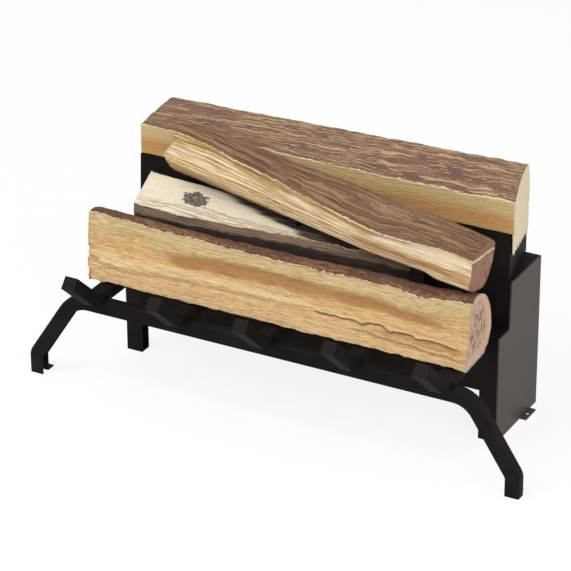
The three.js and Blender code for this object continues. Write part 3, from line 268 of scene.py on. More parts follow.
class Finish(Nodes):
    """A new material, and the few nodes that the finishes of this set are made of."""

    def __init__(self, name, **constants):
        self.material = bpy.data.materials.new(name)
        self.material.use_nodes = True
        super().__init__(self.material.node_tree)
        self.shader = self.tree.nodes["Principled BSDF"]
        for label, value in constants.items():
            feed(self.tree, self.shader.inputs[label.replace("_", " ")], value)

    def carried(self, label, output=2):
        """A value that the mesh carries: output 2 is a number and 1 a vector."""
        return self.node("ShaderNodeAttribute", {"attribute_name": label}, output=output)

    def darkened(self):
        """1 where the carried tint is -1 or less, falling to 0 where it is 0."""
        return self.fade(0.0 - self.carried("tint"), 0.0, 1.0)

    def place(self):
        """The place in the piece's own frame, in metres."""
        return self.node("ShaderNodeTexCoord", output=3)

    def stretch(self, vector, scale):
        """A vector times one number, or times a number for each axis."""
        scale = scale if isinstance(scale, tuple) else (scale, scale, scale)
        return self.node("ShaderNodeVectorMath", {"operation": "MULTIPLY"}, i0=vector, i1=scale)

    def noise(self, vector, scale, detail, rough=0.55, warp=0.0):
        """Noise from 0 to 1 over a stretched vector."""
        return self.node("ShaderNodeTexNoise", Vector=self.stretch(vector, scale), Scale=1.0,
                         Detail=detail, Roughness=rough, Distortion=warp)

    def fade(self, value, low, high):
        """0 below low, 1 above high, and a smooth step between."""
        return self.node("ShaderNodeMapRange", {"interpolation_type": "SMOOTHSTEP"},
                         Value=value, From_Min=low, From_Max=high)

    def ramp(self, value, stops):
        """A colour for each value, between stops of a place and a colour."""
        return self.node("ShaderNodeValToRGB", {"stops": stops}, Fac=value)

    def blend(self, share, first, second):
        """The first colour, turned a share of the way to the second."""
        return self.node("ShaderNodeMix", {"data_type": "RGBA"}, output=2, i0=share, i6=first, i7=second)

    def colour(self, wire):
        feed(self.tree, self.shader.inputs["Base Color"], wire)

    def roughness(self, wire):
        feed(self.tree, self.shader.inputs["Roughness"], wire)

    def relief(self, height, distance, strength=1.0):
        """Fine relief in the shading only, a distance in metres high."""
        bump = self.node("ShaderNodeBump", Height=height, Distance=distance, Strength=strength)
        feed(self.tree, self.shader.inputs["Normal"], bump)


# Noise for the log meshes

def soft_noise(along, around, seed):
    """Smooth noise from 0 to 1 over two arrays of places, the same at every run."""
    table = np.random.default_rng(seed).random((256, 256))
    x = np.floor(along).astype(int)
    y = np.floor(around).astype(int)
    fx = along - x
    fy = around - y
    fx = fx * fx * (3 - 2 * fx)
    fy = fy * fy * (3 - 2 * fy)
    low = table[x % 256, y % 256] * (1 - fx) + table[(x + 1) % 256, y % 256] * fx
    high = table[x % 256, (y + 1) % 256] * (1 - fx) + table[(x + 1) % 256, (y + 1) % 256] * fx
    return low * (1 - fy) + high * fy


def layered_noise(along, around, seed, layers):
    """Smooth noise from 0 to 1 in layers, each half as strong and twice as fine as the one before."""
    total = 0.0
    weight = 0.0
    for layer in range(layers):
        share = 0.5 ** layer
        step = 2.0 ** layer
        total = total + share * soft_noise(along * step, around * step, seed + layer * 17)
        weight += share
    return total / weight


def smooth_step(value, low, high):
    """0 at low and 1 at high with a smooth step between. With high under low it falls instead."""
    share = np.clip((value - low) / (high - low), 0, 1)
    return share * share * (3 - 2 * share)


def valley(value, middle, width):
    """1 where value is near middle, falling to 0 about a width away."""
    return np.exp(-((value - middle) / width) ** 2)


def thin_lines(along, around, seed, length, pitch, level, half_width):
    """1 on long lines of even width, where a stretched noise passes a level; 0 elsewhere. Sizes in mm."""
    nudge = 0.3

    def field(shift_along, shift_around):
        return layered_noise((along + shift_along) / length, (around + shift_around) / pitch, seed, 2)

    here = field(0, 0)
    slope = np.hypot(field(1, 0) - here, (field(0, nudge) - here) / nudge)
    away = np.abs(here - level) / np.maximum(slope, 0.3 / pitch)
    return smooth_step(away, half_width, half_width * 0.3) * smooth_step(slope, 0.1 / pitch, 0.35 / pitch)


# The logs: the part's own tables, sizes in mm

# rings: a log's corners at even places along it, as shares of its depth and height.
# bark: how much of the relief each corner takes. heights: shares of the height along the log.
# left_cut, right_cut and tip: how its ends slant and point. place, yaw and pitch: where it lies.
# bark_from, bark_to: the corners between which the bark lies. bark_rise moves its end, along the log.
# face: the corners between which level runs from 0 to 1. hidden: the corners after which nobody sees it.
# soft, sharp: how far corners are rounded, in the bark and outside it. fray: of the bark's edge.

END_TAPER_SHARE = 0.2
BARK_FURROW_LENGTH = 61
TIP_HEIGHT_SHARE = 0.25
BARK_FADE_SHARE = 1 / 12
BARK_WANDER = 3.5
HIDDEN_STEP = 3.5  # mesh steps where nobody sees the log, in steps of the rest
LEVEL_HEIGHT = 60  # up a split face, for its levels from 0 to 1
KNOT_ALONG = 68
KNOT_HALF_LENGTH = 17
KNOT_LEVEL = 0.54
KNOT_HALF_RISE = 0.2

REAR_LOG = {
    "length": 461, "depth": 73, "height": 61, "relief": 1.1,
    "rings": [
        [(0, 0), (0, .59), (.07, .62), (.2, .66), (.36, .7), (.56, .75), (.78, .8), (.88, .78),
         (.96, .68), (1, .46), (1, 0)],
        [(0, 0), (0, .63), (.07, .72), (.2, .84), (.36, .92), (.56, .98), (.78, .99), (.88, .93),
         (.96, .76), (1, .48), (1, 0)],
    ],
    "bark": [0, 0, 1, 1, 1, 1, 1, 1, 1, 0, 0],
    "heights": [1, 1], "left_cut": .1, "right_cut": -END_TAPER_SHARE, "tip": 0,
    "place": (-229, 131, 236.3), "yaw": 0, "pitch": 0,
    "bark_from": 1, "bark_to": 10, "bark_rise": (0, 0), "face": (0, 1), "hidden": (10,),
    "soft": 5.0, "sharp": 1.1, "fray": 3.0,
}

FRONT_LOG = {
    "length": 467, "depth": 76, "height": 85, "relief": .9,
    "rings": [
        [(.05, 0), (.08, .35), (.12, .71), (.16, .99), (.29, 1), (.48, .95), (.63, .82), (.72, .61),
         (.79, .29), (.68, 0)],
        [(.01, 0), (.08, .3), (.16, .61), (.2, .93), (.36, .96), (.57, .93), (.77, .82), (.92, .6),
         (.98, .3), (.8, 0)],
    ],
    "bark": [0, .4, .4, 0, 1, 1, 1, 1, 1, 0],
    "heights": [1, .985, .96, .945, .945, .94, .955, .96, .915, .98],
    "left_cut": 0, "right_cut": -.05, "tip": 0,
    "place": (-235, 14, 123.3), "yaw": 0, "pitch": 0,
    "bark_from": 3, "bark_to": 9, "bark_rise": (0, 0), "face": (0, 3), "hidden": (9,),
    "soft": 5.0, "sharp": 2.0, "fray": 6.0,
}

MIDDLE_LOG = {
    "length": 345, "depth": 42, "height": 97, "relief": .8,
    "rings": [
        [(.04, .72), (.5, .86), (.95, .99), (1, .86), (.96, .4), (.86, 0), (.56, 0), (.3, .14),
         (.12, .37), (.02, .6)],
        [(.04, .7), (.5, .83), (.93, .95), (.98, .82), (.94, .4), (.82, 0), (.56, 0), (.32, .14),
         (.18, .37), (.04, .58)],
    ],
    "bark": [0, .5, 0, 0, 0, 0, 0, 1, 1, 1],
    "heights": [1, .98, .97, .98, .99, 1, 1], "left_cut": .05, "right_cut": 0, "tip": 0,
    "place": (-213, 83.2, 127.3), "yaw": 0, "pitch": 0,
    "bark_from": 6, "bark_to": 10, "bark_rise": (0.5, 0, 5, 7, 7, 7), "face": (0, 2), "hidden": (3, 4, 5),
    "soft": 4.0, "sharp": 1.6, "fray": 3.0,
}

TOP_LOG = {
    "length": 405, "depth": 50, "height": 57, "relief": .9,
    "rings": [
        [(.02, 0), (-.02, .23), (.04, .53), (.08, .79), (.24, .92), (.4, .89), (.5, .71), (.52, .35),
         (.44, -.26), (.22, -.14)],
        [(.1, -.06), (.07, .16), (.09, .4), (.12, .6), (.23, .85), (.43, 1.03), (.66, .81), (.67, .4),
         (.55, -.2), (.27, -.16)],
        [(.09, -.06), (.08, .12), (.07, .28), (.09, .42), (.21, .77), (.52, 1.07), (.78, .86), (.78, .44),
         (.62, -.15), (.31, -.17)],
        [(0, .14), (.01, .31), (.01, .52), (0, .77), (.2, .91), (.68, 1), (.87, .86), (.85, .47),
         (.66, 0), (.34, -.03)],
    ],
    "bark": [0, .4, .4, 0, 1, 1, .5, .3, .3, 0],
    "heights": [1, 1.09, 1.05, 1.02, 1.03, 1.01, 1.01, 1.04, 1],
    "left_cut": .1, "right_cut": 0, "tip": .026,
    "place": (-176, 103, 240.6), "yaw": -math.asin(63.1 / 405), "pitch": math.asin(37.7 / 405),
    "bark_from": 3, "bark_to": 8, "bark_rise": (0, 0), "face": (0, 3), "hidden": (8, 9),
    "soft": 4.0, "sharp": 1.3, "fray": 3.0,
}


def between(table, place):
    """Values of a short table at places from 0 to 1."""
    return np.interp(place * (len(table) - 1), np.arange(len(table)), table)


def corner_points(log, place):
    """The log's corners at places along it, in its own frame: X along it, Y back, Z up, in mm."""
    rings = np.array(log["rings"], dtype=float)
    corner = np.arange(rings.shape[1])
    depth = np.stack([between(rings[:, k, 0], place) for k in corner], axis=1) * log["depth"]
    height = np.stack([between(rings[:, k, 1], place) for k in corner], axis=1) * log["height"]
    place = place[:, None]
    height = height * between(log["heights"], place)
    tip = log["tip"] * log["length"] * (1 - np.abs(rings[0, :, 1] / TIP_HEIGHT_SHARE - 1))
    start = log["left_cut"] * depth - np.maximum(tip, 0)
    end = log["length"] + log["right_cut"] * depth
    along = start + (end - start) * place
    turn = along / BARK_FURROW_LENGTH * math.pi
    wave = (np.sin(turn * 2.3 + corner * 3.7) + np.sin(turn * 5.1 + corner * 1.9)) / 2
    fade = np.minimum(1, np.minimum(place / BARK_FADE_SHARE, (1 - place) / BARK_FADE_SHARE))
    lift = wave * log["relief"] * np.array(log["bark"]) * fade
    return np.stack([along, depth, height + lift], axis=2)


def smooth_around(points, samples):
    """Rounds the corners of every ring by a bell of that many samples."""
    reach = int(samples * 3) + 1
    offsets = np.arange(-reach, reach + 1)
    weights = np.exp(-0.5 * (offsets / samples) ** 2)
    weights = weights / weights.sum()
    return sum(weight * np.roll(points, offset, axis=1) for offset, weight in zip(offsets, weights))


class LogSkin:
    """The long surface of a log as a grid of points, with what each point knows of its place."""

    def __init__(self, log, sizes):
        self.log = log
        self.sizes = sizes
        step = sizes.step_around / MM
        place = np.linspace(0, 1, sizes.stations)
        corners = corner_points(log, place)
        middle = corners[len(place) // 2][:, 1:]
        spans = np.linalg.norm(np.roll(middle, -1, axis=0) - middle, axis=1)
        counts = [max(3, int(round(span / (step * (HIDDEN_STEP if k in log["hidden"] else 1)))))
                  for k, span in enumerate(spans)]
        edge = np.concatenate([np.full(count, k) for k, count in enumerate(counts)])
        share = np.concatenate([np.arange(count) / count for count in counts])
        following = (edge + 1) % len(spans)
        flat = corners[:, edge] * (1 - share)[:, None] + corners[:, following] * share[:, None]
        corner_at = np.concatenate([[0], np.cumsum(spans)])
        self.around = np.broadcast_to(corner_at[edge] + share * spans[edge], flat.shape[:2])
        self.along = flat[:, :, 0]
        self.place = np.broadcast_to(place[:, None], flat.shape[:2])
        self.total = corner_at[-1]
        self.bark = self.bark_distance(corner_at)
        self.bare = 1 - smooth_step(self.bark, -2.5, -0.3)
        face_low, face_high = (corner_at[k] for k in log["face"])
        self.level = np.clip((self.around - face_low) / (face_high - face_low), 0, 1)
        soft = smooth_around(flat, log["soft"] / step)
        sharp = smooth_around(flat, log["sharp"] / step)
        mask = smooth_step(self.bark, -1, 4)[:, :, None]
        self.points = sharp * (1 - mask) + soft * mask
        self.points[:, :, 0] = flat[:, :, 0]
        self.find_normals()
        self.push = np.zeros(self.along.shape)
        self.line = np.zeros(self.along.shape)
        self.dark = np.zeros(self.along.shape)
        self.tint = np.zeros(self.along.shape)

    def noise(self, length, width, seed, layers, around=None):
        """Noise in patches of a length along the log and a width round it, in mm. No width: even round it."""
        around = self.around if around is None else around
        return layered_noise(self.along / length, around / width if width else around * 0, seed, layers)

    def bark_distance(self, corner_at):
        """How far each point lies inside the bark, in mm, with a wandering and frayed edge."""
        low = corner_at[self.log["bark_from"]]
        high = corner_at[self.log["bark_to"]] + between(self.log["bark_rise"], self.place)
        turns = (self.around, self.around + self.total)
        inside = [np.minimum(around - low, high - around) for around in turns]
        wander = (self.noise(27, None, 11, 3) - 0.5) * BARK_WANDER
        fray = (self.noise(3.4, 3, 29, 3) - 0.5) * self.log["fray"]
        return np.maximum(*inside) + wander + fray

    def find_normals(self):
        """The outward directions that relief is pushed along."""
        down = np.gradient(self.points, axis=0)
        across = np.roll(self.points, -1, axis=1) - np.roll(self.points, 1, axis=1)
        normals = np.cross(down, across)
        normals /= np.linalg.norm(normals, axis=2, keepdims=True) + 1e-9
        outward = self.points - self.points.mean(axis=1, keepdims=True)
        if (normals * outward).sum() < 0:
            normals = -normals
        self.normals = normals

    def near_ends(self, width):
        """1 along the log, falling to 0 at both ends over a width in mm."""
        span = self.along.max() - self.along.min()
        inset = np.minimum(self.place, 1 - self.place) * span
        return smooth_step(inset, 0, width)

    def low_edge(self, far, near):
        """1 within near mm of the log's first corner, its low front edge, falling to 0 at far mm."""
        return smooth_step(np.minimum(self.around, self.total - self.around), far, near)

    def finished(self):
        """The points with their relief."""
        return self.points + self.normals * self.push[:, :, None]


def add_end(points, ring, rings, inward, rough, seed):
    """Closes one end with shrinking rings and a middle point, with a rough face pushed inwards."""
    centre = ring.mean(axis=0)
    first = len(points)
    for k in range(1, rings):
        layer = centre + (ring - centre) * (1 - k / rings)
        marks = layered_noise(layer[:, 1] / 9 + 40, layer[:, 2] / 2.2 + 40, seed, 3)
        broad = layered_noise(layer[:, 1] / 14 + 9, layer[:, 2] / 14 + 9, seed + 5, 2)
        layer[:, 0] += inward * rough * (0.25 + marks * 0.5 + broad * 1.2) * min(1, k / 3)
        points.extend(layer)
    middle = len(points)
    points.append(centre + np.array([inward * rough, 0, 0]))
    return first, middle


def log_arrays(skin, rough, seed):
    """A closed log's points in its own frame, in mm, its faces, and how many of them lie in its ends."""
    grid = skin.finished()
    stations, count = grid.shape[:2]
    cap_rings = skin.sizes.cap_rings
    points = list(grid.reshape(-1, 3))
    faces = []
    ring = np.arange(count)
    following = (ring + 1) % count
    for k in range(stations - 1):
        low = k * count
        high = low + count
        faces.append(np.stack([low + ring, low + following, high + following, high + ring], axis=1))
    for station, inward in ((0, 1), (stations - 1, -1)):
        first, middle = add_end(points, grid[station], cap_rings, inward, rough, seed + station)
        outer = station * count
        for k in range(1, cap_rings):
            inner = first + (k - 1) * count
            quads = np.stack([outer + ring, inner + ring, inner + following, outer + following], axis=1)
            faces.append(quads if inward > 0 else quads[:, ::-1])
            outer = inner
        tips = np.stack([outer + ring, np.full(count, middle), outer + following], axis=1)
        tips = tips if inward > 0 else tips[:, ::-1]
        faces.append(np.concatenate([tips, np.full((count, 1), -1)], axis=1))
    return np.array(points), np.concatenate(faces), 2 * cap_rings * count


def turned(points, log):
    """Points of a log's own frame, in mm, placed in the row's frame, in metres."""
    turn = Matrix.Rotation(log["yaw"], 3, "Z") @ Matrix.Rotation(log["pitch"], 3, "Y")
    return (points @ np.array(turn).T + np.array(log["place"]) + np.array(ROW_SHIFT)) * MM


def new_piece(name, points, faces, values, end_faces, material):
    """A mesh object with the values its material reads. A face with -1 has three corners."""
    mesh = bpy.data.meshes.new(name)
    mesh.from_pydata(points.tolist(), [], [face[face >= 0].tolist() for face in faces])
    for label, numbers in values.items():
        kind = "FLOAT_VECTOR" if numbers.ndim == 2 else "FLOAT"
        attribute = mesh.attributes.new(label, kind, "POINT")
        attribute.data.foreach_set("vector" if numbers.ndim == 2 else "value",
                                   numbers.astype(np.float32).ravel())
    ends = mesh.attributes.new("end", "FLOAT", "FACE")
    ends.data.foreach_set("value", end_faces.astype(np.float32))
    mesh.validate()
    mesh.polygons.foreach_set("use_smooth", np.ones(len(mesh.polygons), dtype=bool))
    mesh.materials.append(material)
    mesh.update()
    piece = bpy.data.objects.new(name, mesh)
    bpy.context.scene.collection.objects.link(piece)
    return piece


def build_log(name, skin, rough, seed, material, lip=None, knot=None):
    """The finished log object, standing for the CAD log of the same node."""
    points, faces, ends = log_arrays(skin, rough, seed)
    grid_size = skin.push.size
    spare = len(points) - grid_size
    end_faces = np.zeros(len(faces))
    end_faces[len(faces) - ends:] = 1

    def carry(values):
        return np.concatenate([values.ravel(), np.zeros(spare)])

    # painted shade: the bark is darkened where its relief is pushed in, as shade in its hollows, and along
    # its dark furrow, step and crumb marks
    hollow = np.maximum(skin.dark, np.clip(-skin.push / 6, 0, 0.5))
    cap_rings = skin.sizes.cap_rings
    depth_in = np.repeat(np.arange(1, cap_rings) / cap_rings, skin.push.shape[1])
    grain = np.stack([skin.along, skin.around, skin.push], axis=2).reshape(-1, 3) * MM
    rest = points[grid_size:] * MM
    values = {
        "bark": carry(skin.bark),
        "line": carry(skin.line),
        "hollow": carry(hollow),
        "level": carry(skin.level),
        "tint": np.concatenate([skin.tint.ravel(), depth_in, [1], depth_in, [1]]),
        "grain": np.concatenate([grain, rest]),
    }
    if knot is not None:
        values["knot"] = carry(knot)
    points = turned(points, skin.log)
    if lip is not None:
        lip_points, lip_faces = lip
        faces = np.concatenate([faces, lip_faces + len(points)])
        points = np.concatenate([points, lip_points])
        end_faces = np.concatenate([end_faces, np.ones(len(lip_faces))])
        for label in values:
            width = values[label].shape[1:]
            values[label] = np.concatenate([values[label], np.zeros((len(lip_points), *width))])
    piece = new_piece(f"{name}_skin", points, faces, values, end_faces, material)
    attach(piece, "stand")
    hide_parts(name)
    return piece


# Relief of the log skins

def split_grain(skin, seed, fine, coarse, stretch, grooves, drift):
    """Long fibres on the split faces: fine grooves and broader ridges, with widths and lengths in mm."""
    around = skin.around + skin.noise(60, 30, seed + 3, 2) * drift
    fibres = skin.noise(stretch, fine, seed, 3, around)
    torn = skin.noise(7, 1.1, seed + 9, 2, around)
    ridges = skin.noise(stretch * 1.6, coarse, seed + 7, 2, around)
    grain = skin.sizes.grain_depth / MM
    skin.push -= skin.bare * grain * (fibres + ridges * 2.2 + torn * 0.7) * (0.35 + 0.65 * skin.near_ends(3))
    marks = np.zeros(skin.along.shape)
    for turn in range(grooves):
        mark = thin_lines(skin.along, around, seed + 20 + turn, 300, coarse * 0.8, 0.4 + 0.07 * turn, 0.55)
        gate = skin.noise(60, coarse * 2, seed + 40 + turn, 2, around)
        marks = np.maximum(marks, mark * smooth_step(gate, 0.38, 0.6))
    skin.push -= skin.bare * marks * 0.35
    skin.line = np.maximum(skin.line, skin.bare * marks)


def beside_course(skin, course, wander):
    """How far each point lies above a course of (place along the log, level up its face), in mm."""
    places, levels = np.array(course).T
    return places, (skin.level - np.interp(skin.place, places, levels) - wander) * LEVEL_HEIGHT


def long_crack(skin, seed, course, width, depth, ledge, jag, paint=1.0):
    """A crack along a course across a split face, and a ledge under it; depth is a share of the set depth."""
    places, across = beside_course(skin, course, (skin.noise(11, None, seed, 4) - 0.5) * jag)
    share = np.clip((skin.place - places[0]) / (places[-1] - places[0]), 0, 1)
    inside = smooth_step(share, 0.0, 0.06) * (1 - smooth_step(share, 0.92, 1.0))
    width = width * (0.4 + 1.2 * skin.noise(9, None, seed + 1, 3))
    mark = np.exp(-(across / width) ** 2) * inside * skin.bare
    skin.push -= mark * skin.sizes.crack_depth / MM * depth
    skin.push -= ledge * skin.bare * inside * smooth_step(-across, 0, width * 2) * np.exp(across / 14)
    skin.line = np.maximum(skin.line, mark * paint)
    skin.tint += 0.8 * paint * skin.bare * inside * valley(across, 2.4, 1.5)


def wash(skin, seed, course, low, high, strength, soft=2):
    """Adds to a skin's tint along a course, from low to high mm beside it."""
    places, beside = beside_course(skin, course, 0)
    beside = beside + (skin.noise(30, 9, seed, 3) - 0.5) * 9
    inside = smooth_step(beside, low - soft, low + soft) * smooth_step(beside, high + soft, high - soft)
    reach = smooth_step(skin.place, places[0] - 0.02, places[0] + 0.06)
    reach = reach * smooth_step(skin.place, places[-1] + 0.02, places[-1] - 0.06)
    skin.tint += strength * inside * reach * (skin.bark < 0)


def rear_bark(skin, seed):
    """Thin plates of bark. Squiggled tan lines run along the log, each with a sunken step painted dark as
    shade.
    """
    on = smooth_step(skin.bark, -0.5, 1.5)
    drift = (skin.noise(34, 16, seed, 3) - 0.5) * 7
    around = skin.around + drift
    upper = smooth_step(skin.bark, 6, 34) * 0.1 - 0.04
    tan = np.zeros(skin.along.shape)
    dark = np.zeros(skin.along.shape)
    for turn, (length, pitch, level) in enumerate(((52, 6, 0.5), (34, 4.6, 0.44), (66, 7, 0.56),
                                                    (44, 5.2, 0.53))):
        gate = skin.noise(24, 8, seed + 9 + turn, 2) + upper
        gate = smooth_step(gate, 0.43, 0.53)
        line = [thin_lines(skin.along, around + shift, seed + 3 + turn, length, pitch, level, width)
                for shift, width in ((0, 0.58), (1.0, 0.65))]
        tan = np.maximum(tan, line[0] * gate)
        dark = np.maximum(dark, line[1] * gate)
    patches = skin.noise(60, 5, seed + 31, 3, around) + upper
    tan = np.maximum(tan, smooth_step(patches, 0.7, 0.76) * 0.7)
    plates = skin.noise(46, 7, seed + 21, 2, around)
    skin.push += on * (np.floor(plates * 6) / 6 - 1) * 1.5
    skin.push += on * (tan * 0.45 - dark * (1 - tan) * 0.8)
    skin.push -= on * skin.noise(5, 1.6, seed + 5, 2) * 0.35
    skin.line = np.maximum(skin.line, on * tan * (1 - 0.35 * smooth_step(skin.along, 170, 50)))
    skin.dark = np.maximum(skin.dark, on * dark * (1 - tan))


def furrowed_bark(skin, seed, pitch, depth, smooth_band):
    """Ridged bark: long tan ridges, and furrows painted dark as shade. Near its edge a band stays smoother.
    """
    on = smooth_step(skin.bark, -0.5, 2)
    deep = smooth_step(skin.bark + 3 * skin.noise(20, 5, seed + 31, 2),
                       smooth_band, smooth_band + 3)
    drift = (skin.noise(80, 22, seed, 3) - 0.5) * 10
    around = skin.around + drift
    ridge = skin.noise(42, pitch * 0.42, seed + 3, 2, around)
    furrow = np.zeros(skin.along.shape)
    for turn in range(3):
        furrow = np.maximum(furrow, thin_lines(skin.along, around, seed + 11 + turn, 110, pitch * 1.5,
                                               0.4 + 0.1 * turn, 0.8))
    gate = skin.noise(35, 6, seed + 23, 2, around)
    furrow = furrow * smooth_step(gate, 0.3, 0.5)
    rough = skin.noise(6, 1.5, seed + 5, 3)
    depth = depth * skin.sizes.bark_depth / MM
    skin.push -= on * (0.3 + 0.7 * deep) * depth * (furrow * 0.8 + 0.6 * (1 - ridge))
    skin.push -= on * rough * 0.5
    skin.line = np.maximum(skin.line, on * deep * smooth_step(ridge + (rough - 0.5) * 0.25, 0.44, 0.62)
                           * (1 - furrow))
    skin.dark = np.maximum(skin.dark, on * (0.3 + 0.7 * deep) * furrow)


def crumbled_bark(skin, seed):
    """Short crumbly bark, as on the front log."""
    on = smooth_step(skin.bark, -0.5, 2)
    lumps = skin.noise(3.2, 1.8, seed, 3)
    broad = skin.noise(34, 7, seed + 8, 3)
    skin.push -= on * skin.sizes.bark_depth / MM * (lumps * 0.9 + broad * 0.5)
    skin.line = np.maximum(skin.line, on * smooth_step(broad * 0.5 + lumps * 0.5, 0.5, 0.66))
    skin.dark = np.maximum(skin.dark, on * smooth_step(lumps, 0.47, 0.33))


def pressed(skin, where, rise):
    """Fills the relief up to a height in mm where another log lies on the skin."""
    skin.push += (rise - skin.push) * where


def broken_rim(skin, seed, height):
    """The bark stands a little proud of the split face, with a broken edge."""
    chips = skin.noise(6, 4, seed, 3)
    lip = valley(skin.bark, 0.4, 1.3) * chips
    skin.push += lip * height - height * 0.2


# Materials of the logs

def wood_bump(finish, grain, bark, end, place):
    """Fine relief: fibres on the split faces, crumbs on the bark, and saw marks on the ends."""
    fibres = finish.noise(grain, (70.0, 560.0, 0.0), 4.0, 0.65)
    crumbs = finish.noise(grain, (240.0, 420.0, 0.0), 4.0, 0.7)
    sawn = finish.noise(place, (400.0, 420.0, 900.0), 3.0, 0.6)
    side = fibres * (1 - bark) + crumbs * bark
    height = side * (1 - end) + sawn * end
    finish.relief(height, 2.6 * MM)


def paint_log(name, face, barks, rim_colour, end_face, shade=None, streaks=(22.0, 120.0, 0.0)):
    """A log's paint: split face, bark, the rim between them, and the ends.

    face and end_face are functions that give a colour; barks are the bark, ridge and furrow colours.
    shade is two distances from the bark's edge, in mm, and a painted shade colour that the bark turns to
    between them.
    """
    finish = Finish(name, Roughness=0.8, Specular_IOR_Level=0.25)
    grain = finish.carried("grain", output=1)
    bark = finish.carried("bark")
    line = finish.carried("line")
    hollow = finish.carried("hollow")
    level = finish.carried("level")
    end = finish.carried("end")
    place = finish.place()
    split = face(finish, grain, level, line)

    broad = finish.noise(grain, streaks, 4.0, 0.6)
    specks = finish.noise(grain, (260.0, 700.0, 0.0), 3.0, 0.6)
    dark, light, darkest = barks
    tone = finish.ramp(broad * 0.6 + specks * 0.4, [(0.38, mixed(dark, darkest, 0.75)), (0.5, dark),
                                                    (0.63, mixed(dark, light, 0.45))])
    ridged = finish.fade(line + (specks - 0.5) * 0.5, 0.25, 0.7)
    rough_bark = finish.blend(ridged * 0.85, tone, light)
    # painted shade: the bark turns towards its darkest colour in its hollows and along its dark marks
    rough_bark = finish.blend(finish.fade(hollow, 0.25, 0.95) * 0.6, rough_bark, darkest)
    # painted shade: the bark turns to a near-black colour between two distances from its edge
    if shade is not None:
        near, far, char = shade
        underside_shaded = finish.fade(bark + (broad - 0.5) * 6, near, far)
        underside_shade_tone = finish.blend(finish.fade(broad, 0.45, 0.7) * 0.4, char, mixed(char, light, 0.2))
        rough_bark = finish.blend(underside_shaded * 0.9, rough_bark, underside_shade_tone)
    on_bark = finish.fade(bark + (specks - 0.5) * 1.2, -0.2, 0.5)
    colour = finish.blend(on_bark, split, rough_bark)
    rim = finish.fade(bark, -1.4, -0.1) * (1 - finish.fade(bark + (broad - 0.5) * 5, 0.2, 1.3))
    not_darkened = 1 - finish.darkened()
    colour = finish.blend(rim * not_darkened * 0.7, colour, rim_colour)
    colour = finish.blend(end, colour, end_face(finish, place))
    finish.colour(colour)
    finish.roughness(0.72 + specks * 0.2)
    wood_bump(finish, grain, on_bark, end, place)
    return finish.material


def sawn_end(base, marks, share, scale=(300.0, 160.0, 420.0), core=(0.0, 0.01), lean=0.0, pale=0.25):
    """Paint for a log's ends: patches, and short dark marks towards the middle of the face."""
    def end_face(finish, place):
        turned_place = finish.node("ShaderNodeMapping", Vector=place, Rotation=(lean, 0.0, 0.0), Scale=scale)
        strokes = finish.noise(turned_place, 1.0, 4.0, 0.65, 0.8)
        patches = finish.noise(place, 60.0, 3.0)
        inner = finish.fade(finish.carried("tint") + (patches - 0.5) * 0.5, *core)
        sawn = finish.blend(finish.fade(patches, 0.4, 0.75) * 0.35, base, paler(base, pale))
        return finish.blend(finish.fade(strokes, 0.48, 0.55) * inner * share, sawn, marks)
    return end_face


def streaked(finish, grain, base, dark, light, broad, hair_scale, strength):
    """Broad streaks and fine hairs along the grain, over a base colour."""
    long = finish.noise(grain, (9.0, broad, 0.0), 3.0, 0.6)
    hair = finish.noise(grain, hair_scale, 3.0, 0.65, 0.3)
    colour = finish.blend(finish.fade(long, 0.52, 0.72) * 0.6 * strength, base, dark)
    colour = finish.blend((1 - finish.fade(long, 0.28, 0.5)) * 0.5 * strength, colour, light)
    colour = finish.blend(finish.fade(hair, 0.53, 0.62) * 0.5, colour, dark)
    colour = finish.blend((1 - finish.fade(hair, 0.38, 0.47)) * 0.45, colour, light)
    return colour


def tinted(finish, colour, pale, dark, strength=0.8):
    """Blends a colour to pale where the carried tint is over 0, and to dark where it is under 0."""
    colour = finish.blend(finish.fade(finish.carried("tint"), 0.0, 1.0) * strength, colour, pale)
    return finish.blend(finish.darkened() * strength, colour, dark)


# Operators: one for each piece or group of like pieces

class LOGSET_OT_rear_log(bpy.types.Operator):
    """Builds the rear log with its painted face, its squiggled bark and the lip over the housing's end"""

    bl_idname = "logset.rear_log"
    bl_label = "Rear log"

    def execute(self, context):
        colours = context.scene.log_colours
        skin = LogSkin(REAR_LOG, context.scene.log_sizes)
        rear_bark(skin, 101)
        broken_rim(skin, 111, 0.5)
        skin.push -= (skin.bark < 0) * skin.noise(50, 9, 113, 2) * 0.5

        def face(finish, grain, level, line):
            waver = finish.noise(grain, (14.0, 40.0, 0.0), 2.0)
            band = level + (waver - 0.5) * 0.3
            base = finish.ramp(band, [(0.02, colours.rear_face_base), (0.42, colours.rear_face_middle),
                                      (0.56, mixed(colours.rear_face_middle, colours.rear_face_top, 0.5)),
                                      (0.72, colours.rear_face_top)])
            streak = finish.noise(grain, (10.0, 180.0, 0.0), 3.0)
            return finish.blend(finish.fade(streak, 0.5, 0.8) * 0.25, base, colours.rear_face_middle)

        material = paint_log("rear_log_paint", face,
                             (colours.rear_bark, colours.rear_furrow, darker(colours.rear_bark, 0.35)),
                             colours.cream,
                             sawn_end(colours.cream, mixed(colours.cream, colours.rear_bark, 0.3), 0.2))
        piece = build_log("rear_log", skin, 0.5, 121, material, lip=rear_lip())
        return {"FINISHED"}


